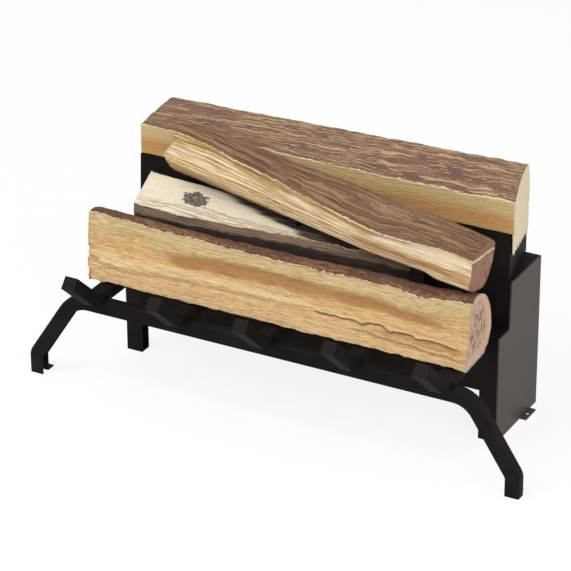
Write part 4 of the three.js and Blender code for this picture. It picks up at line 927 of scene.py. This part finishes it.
def rear_lip():
    """The cream lip over the housing's right end: a thin sheet with a ragged lower edge. Sizes in mm."""
    columns = 150
    rows = 46
    log_front = REAR_LOG["place"][1]
    log_end = REAR_LOG["place"][0] + REAR_LOG["length"]
    front = 131.4
    full_from = 135
    back = 203.2
    top = 238.4
    tuck_from = 236.2
    tuck = 1.4
    low = 214.5
    inset = 0.4
    thickness = 2.2
    spike_count = 7
    spike_height = 8.2
    tooth_height = 1.2
    ripple_depth = 0.35
    depth = np.linspace(front, back, columns)
    across = (depth - log_front) / REAR_LOG["depth"]
    teeth = layered_noise(depth / 5.5, depth * 0 + 3, 131, 2)
    spikes = np.abs(((across * spike_count + 0.25) % 1) * 2 - 1) ** 1.6
    bottom = low - spike_height * spikes * (0.35 + 0.65 * teeth) - tooth_height * teeth
    outer_x = log_end - inset - END_TAPER_SHARE * (depth - log_front)
    thick = thickness * (0.25 + 0.75 * smooth_step(depth, front, full_from))
    points = []
    for side in (0, 1):
        for row in range(rows):
            share = row / (rows - 1)
            height = top + (bottom - top) * share
            ripple = ripple_depth * layered_noise(depth / 7, height / 9, 137, 2)
            inner = thick * (1 - 0.75 * smooth_step(share, 0.75, 1.0))
            x = outer_x - tuck * smooth_step(height, tuck_from, top) - (inner if side else ripple)
            points.append(np.stack([x, depth, np.broadcast_to(height, depth.shape)], axis=1))
    points = (np.concatenate(points) + np.array(ROW_SHIFT)) * MM
    faces = []
    half = rows * columns
    for row in range(rows - 1):
        for column in range(columns - 1):
            a = row * columns + column
            faces.append((a, a + columns, a + columns + 1, a + 1))
            faces.append((half + a, half + a + 1, half + a + columns + 1, half + a + columns))
    rim = (list(range(columns))
           + [row * columns + columns - 1 for row in range(1, rows)]
           + [(rows - 1) * columns + column for column in range(columns - 2, -1, -1)]
           + [row * columns for row in range(rows - 2, 0, -1)])
    for k, a in enumerate(rim):
        b = rim[(k + 1) % len(rim)]
        faces.append((a, b, half + b, half + a))
    return points, np.array(faces)


class LOGSET_OT_top_log(bpy.types.Operator):
    """Builds the top log: furrowed bark above a pale split face with long grooves"""

    bl_idname = "logset.top_log"
    bl_label = "Top log"

    def execute(self, context):
        colours = context.scene.log_colours
        skin = LogSkin(TOP_LOG, context.scene.log_sizes)
        split_grain(skin, 201, fine=1.15, coarse=4.2, stretch=120, grooves=5, drift=3.0)
        long_crack(skin, 203, [(0.0, 0.3), (0.25, 0.24), (0.5, 0.2)],
                   width=0.7, depth=0.5, ledge=0.8, jag=0.04, paint=0.7)
        long_crack(skin, 207, [(0.3, 0.34), (0.7, 0.4), (0.98, 0.3)],
                   width=0.8, depth=0.5, ledge=0.8, jag=0.05, paint=0.7)
        wash(skin, 231, [(0.66, 0.9), (0.8, 0.72), (1.03, 0.7)], low=-13, high=16, strength=0.8)
        wash(skin, 233, [(0.6, 0.42), (0.75, 0.38), (1.03, 0.36)], low=-10, high=7, strength=-1.0, soft=4)
        wash(skin, 235, [(0.3, 0.08), (0.75, 0.08), (1.03, 0.08)], low=-6, high=5, strength=0.7)
        furrowed_bark(skin, 211, pitch=3.6, depth=1.0, smooth_band=4.0)
        broken_rim(skin, 213, 0.9)
        pressed(skin, smooth_step(skin.place, 0.84, 0.9) * skin.low_edge(14, 6), 1.6)

        def face(finish, grain, level, line):
            waver = finish.noise(grain, (16.0, 60.0, 0.0), 2.0)
            band = level + (waver - 0.5) * 0.5
            base = finish.ramp(band, [(0.05, mixed(colours.top_face, colours.front_dark, 0.35)),
                                      (0.35, colours.top_face),
                                      (0.68, mixed(colours.top_face, WARM_WHITE, 0.2)),
                                      (0.86, colours.top_shade)])
            colour = streaked(finish, grain, base, mixed(colours.top_shade, colours.front_dark, 0.5),
                              paler(colours.top_face, 0.25), broad=480.0, hair_scale=(36.0, 900.0, 0.0),
                              strength=0.75)
            warm = 1 - finish.fade(band, 0.0, 0.2)
            colour = finish.blend(warm * 0.5, colour, colours.front_dark)
            pale = mixed(colours.top_face, WARM_WHITE, 0.35)
            colour = tinted(finish, colour, pale, colours.front_dark, 0.7)
            return finish.blend(line * 0.75, colour, darker(colours.front_dark, 0.5))

        def end_face(finish, place):
            """Brown above a pale crease that runs straight back across the right end, pinkish below it."""
            patched = sawn_end(colours.top_end, colours.end_mark, 0.5, scale=(300.0, 420.0, 300.0))
            sawn = patched(finish, place)
            crease_height = 240.5 * MM
            waver = finish.noise(place, 90.0, 3.0)
            height = finish.node("ShaderNodeSeparateXYZ", output=2, Vector=place) + (waver - 0.5) * 0.01
            upper = finish.fade(height, crease_height, crease_height + 1.5 * MM)
            crease = upper * (1 - finish.fade(height, crease_height + 2.5 * MM, crease_height + 4.5 * MM))
            sawn = finish.blend(upper * 0.6, sawn, mixed(colours.top_bark, colours.top_end, 0.3))
            return finish.blend(crease * 0.8, sawn, paler(colours.top_face, 0.35))

        material = paint_log("top_log_paint", face,
                             (colours.top_bark, colours.top_furrow, darker(colours.top_bark, 0.4)),
                             paler(colours.top_face, 0.2), end_face, streaks=(14.0, 420.0, 0.0))
        piece = build_log("top_log", skin, 1.2, 221, material)
        return {"FINISHED"}


class LOGSET_OT_middle_log(bpy.types.Operator):
    """Builds the middle log: a cream split face with a knot, over a thin edge of bark"""

    bl_idname = "logset.middle_log"
    bl_label = "Middle log"

    def execute(self, context):
        colours = context.scene.log_colours
        skin = LogSkin(MIDDLE_LOG, context.scene.log_sizes)
        split_grain(skin, 301, fine=2.2, coarse=5, stretch=70, grooves=4, drift=12.0)
        skin.line *= smooth_step(skin.level, 0.5, 0.12)
        # painted shadow: the top log's shadow on this face lies beyond a slanted line across it, painted dark
        # through the tint
        top_log_shadow = 38.2 * skin.level + 0.23 * skin.along
        top_log_shadow += (skin.noise(40, 5, 341, 3) - 0.5) * 7
        skin.tint -= smooth_step(top_log_shadow, 53, 61) * (skin.bark < 0)
        for turn, course in enumerate(([(0.0, 0.06), (0.12, 0.15), (0.25, 0.07), (0.65, 0.06)],
                                       [(0.02, 0.15), (0.14, 0.25), (0.28, 0.15), (0.65, 0.12)],
                                       [(0.12, 0.33), (0.26, 0.23), (0.6, 0.18)],
                                       [(0.2, 0.4), (0.34, 0.3), (0.58, 0.24)])):
            long_crack(skin, 343 + turn, course, width=0.9, depth=0.3, ledge=0.4, jag=0.07)
        furrowed_bark(skin, 311, pitch=2.4, depth=0.6, smooth_band=0.0)
        broken_rim(skin, 313, 0.6)
        knot = knot_field(skin)
        skin.push -= knot * (0.5 + 1.4 * skin.noise(2.2, 2.2, 317, 3))
        skin.line = np.where(knot > 0.5, 0, skin.line) * skin.bare

        def face(finish, grain, level, line):
            warm = finish.noise(grain, (10.0, 30.0, 0.0), 2.0)
            base = finish.blend(finish.fade(warm, 0.45, 0.75) * 0.5, colours.middle_face,
                                mixed(colours.middle_face, colours.front_face, 0.5))
            hair = finish.noise(grain, (18.0, 700.0, 0.0), 2.0, 0.6, 0.6)
            edge = 1 - finish.fade(level, 0.05, 0.3)
            brown = mixed(colours.front_dark, colours.middle_bark, 0.4)
            colour = finish.blend(finish.fade(hair, 0.57, 0.66) * (0.12 + edge * 0.5), base, brown)
            colour = finish.blend(line * 0.75, colour, brown)
            flecks = finish.noise(grain, (380.0, 700.0, 0.0), 3.0, 0.7, 1.2)
            dark = finish.ramp(flecks, [(0.36, darker(colours.knot, 0.75)), (0.48, colours.knot),
                                        (0.6, paler(colours.knot, 0.22))])
            knotty = finish.fade(finish.carried("knot") + (flecks - 0.5) * 0.9, 0.35, 0.55)
            colour = finish.blend(knotty, colour, dark)
            # painted shadow of the top log: a streaked dark colour where the carried tint is under 0
            streak = finish.noise(grain, (16.0, 300.0, 0.0), 3.0)
            top_log_shadow = finish.ramp(streak, [(0.4, colours.top_log_shadow), (0.52, darker(colours.top_log_shadow, 0.4)),
                                        (0.64, mixed(colours.top_log_shadow, colours.middle_bark, 0.5))])
            return finish.blend(finish.darkened(), colour, top_log_shadow)

        # painted shade: the right end, and the bark 9 to 13 mm and more from the face's edge, turn near black
        # for the shade under the overhang
        material = paint_log("middle_log_paint", face,
                             (colours.middle_bark, mixed(colours.middle_bark, colours.top_furrow, 0.6),
                              darker(colours.middle_bark, 0.45)),
                             mixed(colours.middle_face, colours.front_face, 0.35),
                             sawn_end(darker(colours.char, 0.3),
                                      mixed(colours.char, colours.middle_bark, 0.2), 0.3, pale=0.01),
                             shade=(9.0, 13.0, colours.char))
        piece = build_log("middle_log", skin, 1.0, 321, material, knot=knot)
        return {"FINISHED"}


def knot_field(skin):
    """1 inside the knot on the middle log's face, 0 outside."""
    along = (skin.along - KNOT_ALONG) / KNOT_HALF_LENGTH
    up = (skin.level - KNOT_LEVEL) / KNOT_HALF_RISE
    edge = (skin.noise(4, 2.5, 331, 3) - 0.5) * 0.8
    reach = np.sqrt(along ** 2 + up ** 2) + edge
    return (1 - smooth_step(reach, 0.86, 1.06)) * (skin.bark < 0) * (skin.level < 1)


class LOGSET_OT_front_log(bpy.types.Operator):
    """Builds the front log: a tall split face with ridges and cracks under a strip of crumbly bark"""

    bl_idname = "logset.front_log"
    bl_label = "Front log"

    def execute(self, context):
        colours = context.scene.log_colours
        skin = LogSkin(FRONT_LOG, context.scene.log_sizes)
        split_grain(skin, 401, fine=1.6, coarse=6, stretch=60, grooves=0, drift=8.0)
        ridge = [(0, 0.4), (0.1, 0.35), (0.2, 0.4), (0.3, 0.44), (0.5, 0.44), (0.62, 0.46)]
        long_crack(skin, 403, [(0, 0.3), (0.1, 0.27), (0.3, 0.36), (0.62, 0.38)],
                   width=1.4, depth=0.2, ledge=2.0, jag=0.05, paint=0.3)
        long_crack(skin, 405, [(0.6, 0.38), (0.68, 0.36), (0.75, 0.38), (0.87, 0.36), (0.99, 0.31)],
                   width=1.2, depth=1.3, ledge=2.4, jag=0.1)
        long_crack(skin, 407, [(0.7, 0.24), (0.85, 0.22), (1, 0.16)],
                   width=0.9, depth=0.4, ledge=1.2, jag=0.06, paint=0.5)
        long_crack(skin, 409, [(0.3, 0.78), (0.6, 0.76), (0.9, 0.7)],
                   width=1.8, depth=0.3, ledge=1.6, jag=0.04, paint=0.25)
        # painted highlight: a pale band along the ridge, where it catches the light
        wash(skin, 431, ridge, low=-1, high=3, strength=0.9, soft=3)
        # painted shade: a brown band under the pale upper band of the face
        wash(skin, 433, [(0.2, 0.6), (0.35, 0.66), (0.6, 0.7), (0.95, 0.68)],
             low=-5, high=4, strength=-1.1, soft=5)
        # painted shade: a brown zone under the crack at the right
        wash(skin, 435, [(0.72, 0.28), (0.85, 0.27), (1.02, 0.22)], low=-4, high=5, strength=-0.6)
        skin.points[:, :, 2] += skin.low_edge(6, 0) * (skin.noise(9, None, 437, 3) - 0.35) * 4
        chips = skin.noise(9, 6, 419, 3)
        left_end = smooth_step(skin.along, 24, 6) * smooth_step(skin.level, 0.6, 0.42)
        skin.push -= skin.bare * left_end * smooth_step(chips, 0.45, 0.6) * 3.0
        crumbled_bark(skin, 411)
        broken_rim(skin, 413, 0.8)
        pressed(skin, smooth_step(skin.along, 385, 415) * smooth_step(skin.bark, 5, 9) * 0.8, 1.0)

        def face(finish, grain, level, line):
            waver = finish.noise(grain, (12.0, 50.0, 0.0), 2.0)
            band = level + (waver - 0.5) * 0.35
            # painted shade: the darker stop at 0.62 goes with the brown band under the pale upper band
            base = finish.ramp(band, [(0.05, mixed(colours.front_face, colours.front_end, 0.3)),
                                      (0.4, colours.front_face),
                                      (0.62, mixed(colours.front_face, colours.front_dark, 0.3)),
                                      (0.78, mixed(colours.front_pale, colours.top_shade, 0.35)),
                                      (0.93, colours.front_pale)])
            pale = mixed(colours.front_pale, HONEY, 0.4)
            colour = streaked(finish, grain, base, colours.front_dark, pale, broad=220.0,
                              hair_scale=(85.0, 620.0, 0.0), strength=0.5)
            colour = tinted(finish, colour, pale, colours.front_dark)
            return finish.blend(line * 0.8, colour, mixed(colours.front_dark, colours.front_bark, 0.7))

        material = paint_log("front_log_paint", face,
                             (colours.front_bark, colours.front_fleck, darker(colours.front_bark, 0.65)),
                             paler(colours.front_pale, 0.3),
                             sawn_end(colours.front_end, darker(colours.end_mark, 0.3), 0.8,
                                      scale=(200.0, 360.0, 95.0), core=(0.15, 0.45), lean=0.45))
        piece = build_log("front_log", skin, 1.6, 421, material)
        return {"FINISHED"}


# Steel and fittings

SHEET_EDGE = 0.35 * MM
MOULDED_EDGE = 0.4 * MM
COAT_SHEEN = (0.06, 0.055, 0.05)
DUST = (0.2, 0.18, 0.17)
WORN_GREY = (0.3, 0.3, 0.3)


def soften_edges(node, width):
    """A small rounded edge on a CAD node, by a modifier, so that the node's own mesh stays as it is."""
    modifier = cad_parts[node].modifiers.new("edges", "BEVEL")
    modifier.width = width
    modifier.segments = 2
    modifier.limit_method = "ANGLE"
    modifier.angle_limit = math.radians(40)


def paint(node, material):
    """Gives a CAD node its material."""
    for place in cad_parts[node].material_slots:
        place.material = material


def powder_coat(name, colour, rough, hatched=False):
    """Satin powder coat: a faint orange peel with dust. Hatched, its front faces carry fine slanted marks."""
    finish = Finish(name, Specular_IOR_Level=0.06)
    place = finish.place()
    peel = finish.noise(place, 900.0, 2.0)
    cloud = finish.noise(place, 16.0, 4.0, 0.6)
    dust = finish.noise(place, 240.0, 4.0, 0.7)
    base = finish.blend(finish.fade(cloud, 0.4, 0.7) * 0.4, colour, mixed(colour, COAT_SHEEN, 0.25))
    base = finish.blend(finish.fade(dust, 0.6, 0.78) * 0.2, base, mixed(colour, DUST, 0.15))
    if hatched:
        turn = finish.node("ShaderNodeNewGeometry", output=1)
        facing = finish.node("ShaderNodeSeparateXYZ", output=1, Vector=turn)
        bands = finish.node("ShaderNodeTexWave", {"bands_direction": "DIAGONAL"}, output=1,
                            Vector=finish.stretch(place, (185.0, 0.0, -185.0)), Scale=1.0, Distortion=1.2)
        scratch = finish.fade(bands, 0.8, 1.0) * (1 - finish.fade(facing, -0.5, -0.2))
        base = finish.blend(scratch * 0.4, base, mixed(colour, DUST, 0.35))
    finish.colour(base)
    finish.roughness(rough + (cloud - 0.5) * 0.16 + (dust - 0.5) * 0.1)
    finish.relief(peel, 0.1 * MM, 0.5)
    return finish.material


class LOGSET_OT_steelwork(bpy.types.Operator):
    """Paints the rail, grate bars, stand, tower, housing and log pins, and rounds the sheets' edges"""

    bl_idname = "logset.steelwork"
    bl_label = "Steelwork"

    def execute(self, context):
        steel = context.scene.steel_colours
        coat = powder_coat("black_powder_coat", steel.black, 0.6)
        hatched_coat = powder_coat("hatched_bar_coat", steel.black, 0.78, hatched=True)
        sheets = ("front_rail", "left_stand", "tower_casing", "housing_shell", "housing_lid", "back_cover")
        coats = dict.fromkeys(sheets, coat)
        coats.update({f"grate_bar_{k}": hatched_coat for k in range(1, 6)})
        # painted light: the side plate's lighter grey stands for the light from the right
        coats["tower_side_plate"] = powder_coat("side_plate_lit_coat", steel.side_plate, 0.45)
        for node, material in coats.items():
            paint(node, material)
            soften_edges(node, SHEET_EDGE)
        # painted shade: the pins are black painted steel, made darker still for the shade in the gaps between
        # the logs
        shaded_pin_coat = powder_coat("shaded_pin_coat", darker(steel.black, 0.55), 0.8)
        for node in ("log_pin_1", "log_pin_2"):
            paint(node, shaded_pin_coat)
        return {"FINISHED"}


class LOGSET_OT_fittings(bpy.types.Operator):
    """Finishes the screws, rotor, motor, lamps, boards, window, inlet and switch"""

    bl_idname = "logset.fittings"
    bl_label = "Fittings"

    def execute(self, context):
        steel = context.scene.steel_colours
        looks = {
            "zinc": plated("zinc_plate", steel.zinc, 0.34),
            "aluminium": plated("bright_strip", from_screen(214, 216, 218), 0.2),
            "brass": plated("bush_brass_finish", from_screen(184, 148, 82), 0.32),
            "plastic": moulded("black_moulding", steel.plastic, 0.42),
            "rubber": moulded("rubber_moulding", from_screen(30, 30, 30), 0.75),
            "nylon": moulded("white_nylon_finish", from_screen(228, 225, 216), 0.5),
            "resin": board_finish(),
            "frost": frosted(),
        }
        kinds = {
            "flicker_rotor": "aluminium", "rotor_coupling": "rubber", "motor_shaft": "zinc",
            "rotor_bush": "brass", "flicker_motor": "zinc", "lamp_board": "resin", "control_board": "resin",
            "lamp_standoff_1": "nylon", "lamp_standoff_2": "nylon", "control_spacer_1": "nylon",
            "control_spacer_2": "nylon", "power_inlet": "plastic", "switch_bezel": "plastic",
            "power_rocker": "plastic", "lamp_lead": "rubber", "light_window": "frost",
        }
        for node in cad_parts:
            kind = kinds.get(node, "zinc" if "screw" in node else None)
            if kind is not None:
                paint(node, looks[kind])
        for node in ("power_inlet", "switch_bezel", "power_rocker", "light_window"):
            soften_edges(node, MOULDED_EDGE)
        return {"FINISHED"}


def plated(name, colour, rough):
    """Brushed or plated metal, a little cloudy."""
    finish = Finish(name, Metallic=1.0)
    place = finish.place()
    brushed = finish.noise(place, (300.0, 1400.0, 1400.0), 3.0)
    cloud = finish.noise(place, 90.0, 3.0)
    finish.colour(finish.blend(finish.fade(cloud, 0.4, 0.7) * 0.3, colour, darker(colour, 0.25)))
    finish.roughness(rough + (brushed - 0.5) * 0.2)
    finish.relief(brushed, 0.05 * MM, 0.4)
    return finish.material


def moulded(name, colour, rough):
    """Moulded plastic or rubber with a fine grit."""
    finish = Finish(name)
    place = finish.place()
    grit = finish.noise(place, 1800.0, 2.0)
    cloud = finish.noise(place, 60.0, 3.0)
    worn = mixed(colour, WORN_GREY, 0.2)
    finish.colour(finish.blend(finish.fade(cloud, 0.4, 0.7) * 0.25, colour, worn))
    finish.roughness(rough + (cloud - 0.5) * 0.15)
    finish.relief(grit, 0.06 * MM, 0.6)
    return finish.material


def board_finish():
    """Green board with darker tracks."""
    finish = Finish("board_resin_finish")
    place = finish.place()
    weave = finish.node("ShaderNodeTexVoronoi", Vector=finish.stretch(place, 320.0), Scale=1.0)
    tracks = finish.fade(weave, 0.3, 0.34)
    finish.colour(finish.blend(tracks, from_screen(58, 118, 78), from_screen(28, 80, 48)))
    finish.roughness(0.4 + tracks * 0.15)
    return finish.material


def frosted():
    """Frosted acrylic that lets some light through."""
    finish = Finish("frosted_window", Transmission_Weight=0.35, IOR=1.49)
    place = finish.place()
    frost = finish.noise(place, 2200.0, 2.0)
    cloud = finish.noise(place, 40.0, 2.0)
    finish.colour(finish.blend(cloud, from_screen(232, 236, 238), from_screen(244, 246, 246)))
    finish.roughness(0.42 + frost * 0.2)
    finish.relief(frost, 0.04 * MM, 0.6)
    return finish.material


# Studio: lamps and floor in metres from the point the camera looks at

KEY_LAMP = {"place": (-0.9, -1.3, 1.9), "size": 1.6}
FILL_LAMP = {"place": (1.8, -0.7, 0.9), "size": 1.4}
SURROUNDINGS = (1.0, 0.99, 0.97)
FLOOR_REACH = 6
FLOOR_WHITE = 0.86  # share of plain white in the floor, for the rays that see it
SENSOR_WIDTH = 36.0  # mm
VIEW_REACH = 50.0


class LOGSET_OT_studio(bpy.types.Operator):
    """Sets the floor, the soft lamps, the white surroundings and the camera"""

    bl_idname = "logset.studio"
    bl_label = "Studio"

    def execute(self, context):
        scene = context.scene
        studio = scene.studio
        self.floor(scene, studio)
        self.surroundings(scene, studio)
        aim = Vector(studio.aim)
        soft_lamp(scene, "key_lamp", KEY_LAMP, aim, studio.key_power)
        soft_lamp(scene, "fill_lamp", FILL_LAMP, aim, studio.fill_power)
        self.camera(scene, studio, aim)
        scene.view_settings.view_transform = "Standard"
        return {"FINISHED"}

    def floor(self, scene, studio):
        """A wide pale floor that keeps the object's shadow."""
        mesh = bpy.data.meshes.new("floor")
        corners = [(x * FLOOR_REACH, y * FLOOR_REACH, 0) for x, y in ((-1, -1), (1, -1), (1, 1), (-1, 1))]
        mesh.from_pydata(corners, [], [(0, 1, 2, 3)])
        floor = bpy.data.objects.new("floor", mesh)
        scene.collection.objects.link(floor)
        finish = Finish("pale_floor", Base_Color=studio.floor_colour, Roughness=0.9, Specular_IOR_Level=0.0)
        pale = Wire(finish.tree, finish.shader.outputs[0])
        white = finish.node("ShaderNodeEmission", Color=WHITE, Strength=1.0)
        finish.show("Material Output", finish.background_rays() * FLOOR_WHITE, pale, white)
        mesh.materials.append(finish.material)

    def surroundings(self, scene, studio):
        """Soft light from all round, which the camera, gloss and glass see as plain white."""
        world = bpy.data.worlds.new("white_surroundings")
        scene.world = world
        world.use_nodes = True
        nodes = Nodes(world.node_tree)
        background = nodes.tree.nodes["Background"]
        feed(nodes.tree, background.inputs["Color"], SURROUNDINGS)
        feed(nodes.tree, background.inputs["Strength"], studio.ambient)
        soft = Wire(nodes.tree, background.outputs[0])
        white = nodes.node("ShaderNodeBackground", Color=WHITE, Strength=1.0)
        nodes.show("World Output", nodes.background_rays(), soft, white)

    def camera(self, scene, studio, aim):
        """A camera at the studio's angles and distance from the aim."""
        turn, rise = studio.azimuth, studio.elevation
        back = Vector((math.sin(turn) * math.cos(rise), -math.cos(turn) * math.cos(rise), math.sin(rise)))
        right = Vector((math.cos(turn), math.sin(turn), 0.0))
        up = back.cross(right)
        lean = math.cos(studio.roll), math.sin(studio.roll)
        right, up = lean[0] * right + lean[1] * up, lean[0] * up - lean[1] * right
        eye = aim + back * studio.distance
        data = bpy.data.cameras.new("camera")
        data.lens = studio.lens
        data.sensor_width = SENSOR_WIDTH
        data.clip_end = VIEW_REACH
        camera = bpy.data.objects.new("camera", data)
        camera.matrix_world = Matrix((
            (right.x, up.x, back.x, eye.x),
            (right.y, up.y, back.y, eye.y),
            (right.z, up.z, back.z, eye.z),
            (0.0, 0.0, 0.0, 1.0),
        ))
        scene.collection.objects.link(camera)
        scene.camera = camera


def soft_lamp(scene, name, lamp_setting, aim, power):
    """A round lamp that faces the aim."""
    place = aim + Vector(lamp_setting["place"])
    data = bpy.data.lights.new(name, "AREA")
    data.shape = "DISK"
    data.size = lamp_setting["size"]
    data.energy = power
    lamp = bpy.data.objects.new(name, data)
    lamp.location = place
    lamp.rotation_euler = (place - aim).to_track_quat("Z", "Y").to_euler()
    scene.collection.objects.link(lamp)


class LOGSET_PT_panel(bpy.types.Panel):
    """The log set's sizes, colours and steps"""

    bl_label = "Log set"
    bl_idname = "LOGSET_PT_panel"
    bl_space_type = "VIEW_3D"
    bl_region_type = "UI"
    bl_category = "Log set"

    def draw(self, context):
        """Shows every setting, then a button for each operator."""
        scene = context.scene
        for group in (scene.log_sizes, scene.log_colours, scene.steel_colours, scene.studio):
            box = self.layout.box()
            for label in group.__annotations__:
                box.prop(group, label)
        for operator in OPERATORS:
            self.layout.operator(operator.bl_idname)


OPERATORS = (
    LOGSET_OT_rear_log,
    LOGSET_OT_top_log,
    LOGSET_OT_middle_log,
    LOGSET_OT_front_log,
    LOGSET_OT_steelwork,
    LOGSET_OT_fittings,
    LOGSET_OT_studio,
)
GROUPS = {"log_sizes": LogSizes, "log_colours": LogColours, "steel_colours": SteelColours, "studio": Studio}


def register():
    """Makes the settings, operators and panel known to Blender."""
    for kind in (*GROUPS.values(), *OPERATORS, LOGSET_PT_panel):
        bpy.utils.register_class(kind)
    for label, group in GROUPS.items():
        setattr(bpy.types.Scene, label, bpy.props.PointerProperty(type=group))


def unregister():
    """Takes them out again."""
    for label in GROUPS:
        delattr(bpy.types.Scene, label)
    for kind in (LOGSET_PT_panel, *OPERATORS, *GROUPS.values()):
        bpy.utils.unregister_class(kind)


def main():
    """Builds the whole scene."""
    register()
    bpy.ops.logset.rear_log()
    bpy.ops.logset.top_log()
    bpy.ops.logset.middle_log()
    bpy.ops.logset.front_log()
    bpy.ops.logset.steelwork()
    bpy.ops.logset.fittings()
    bpy.ops.logset.studio()


if __name__ == "__main__":
    main()
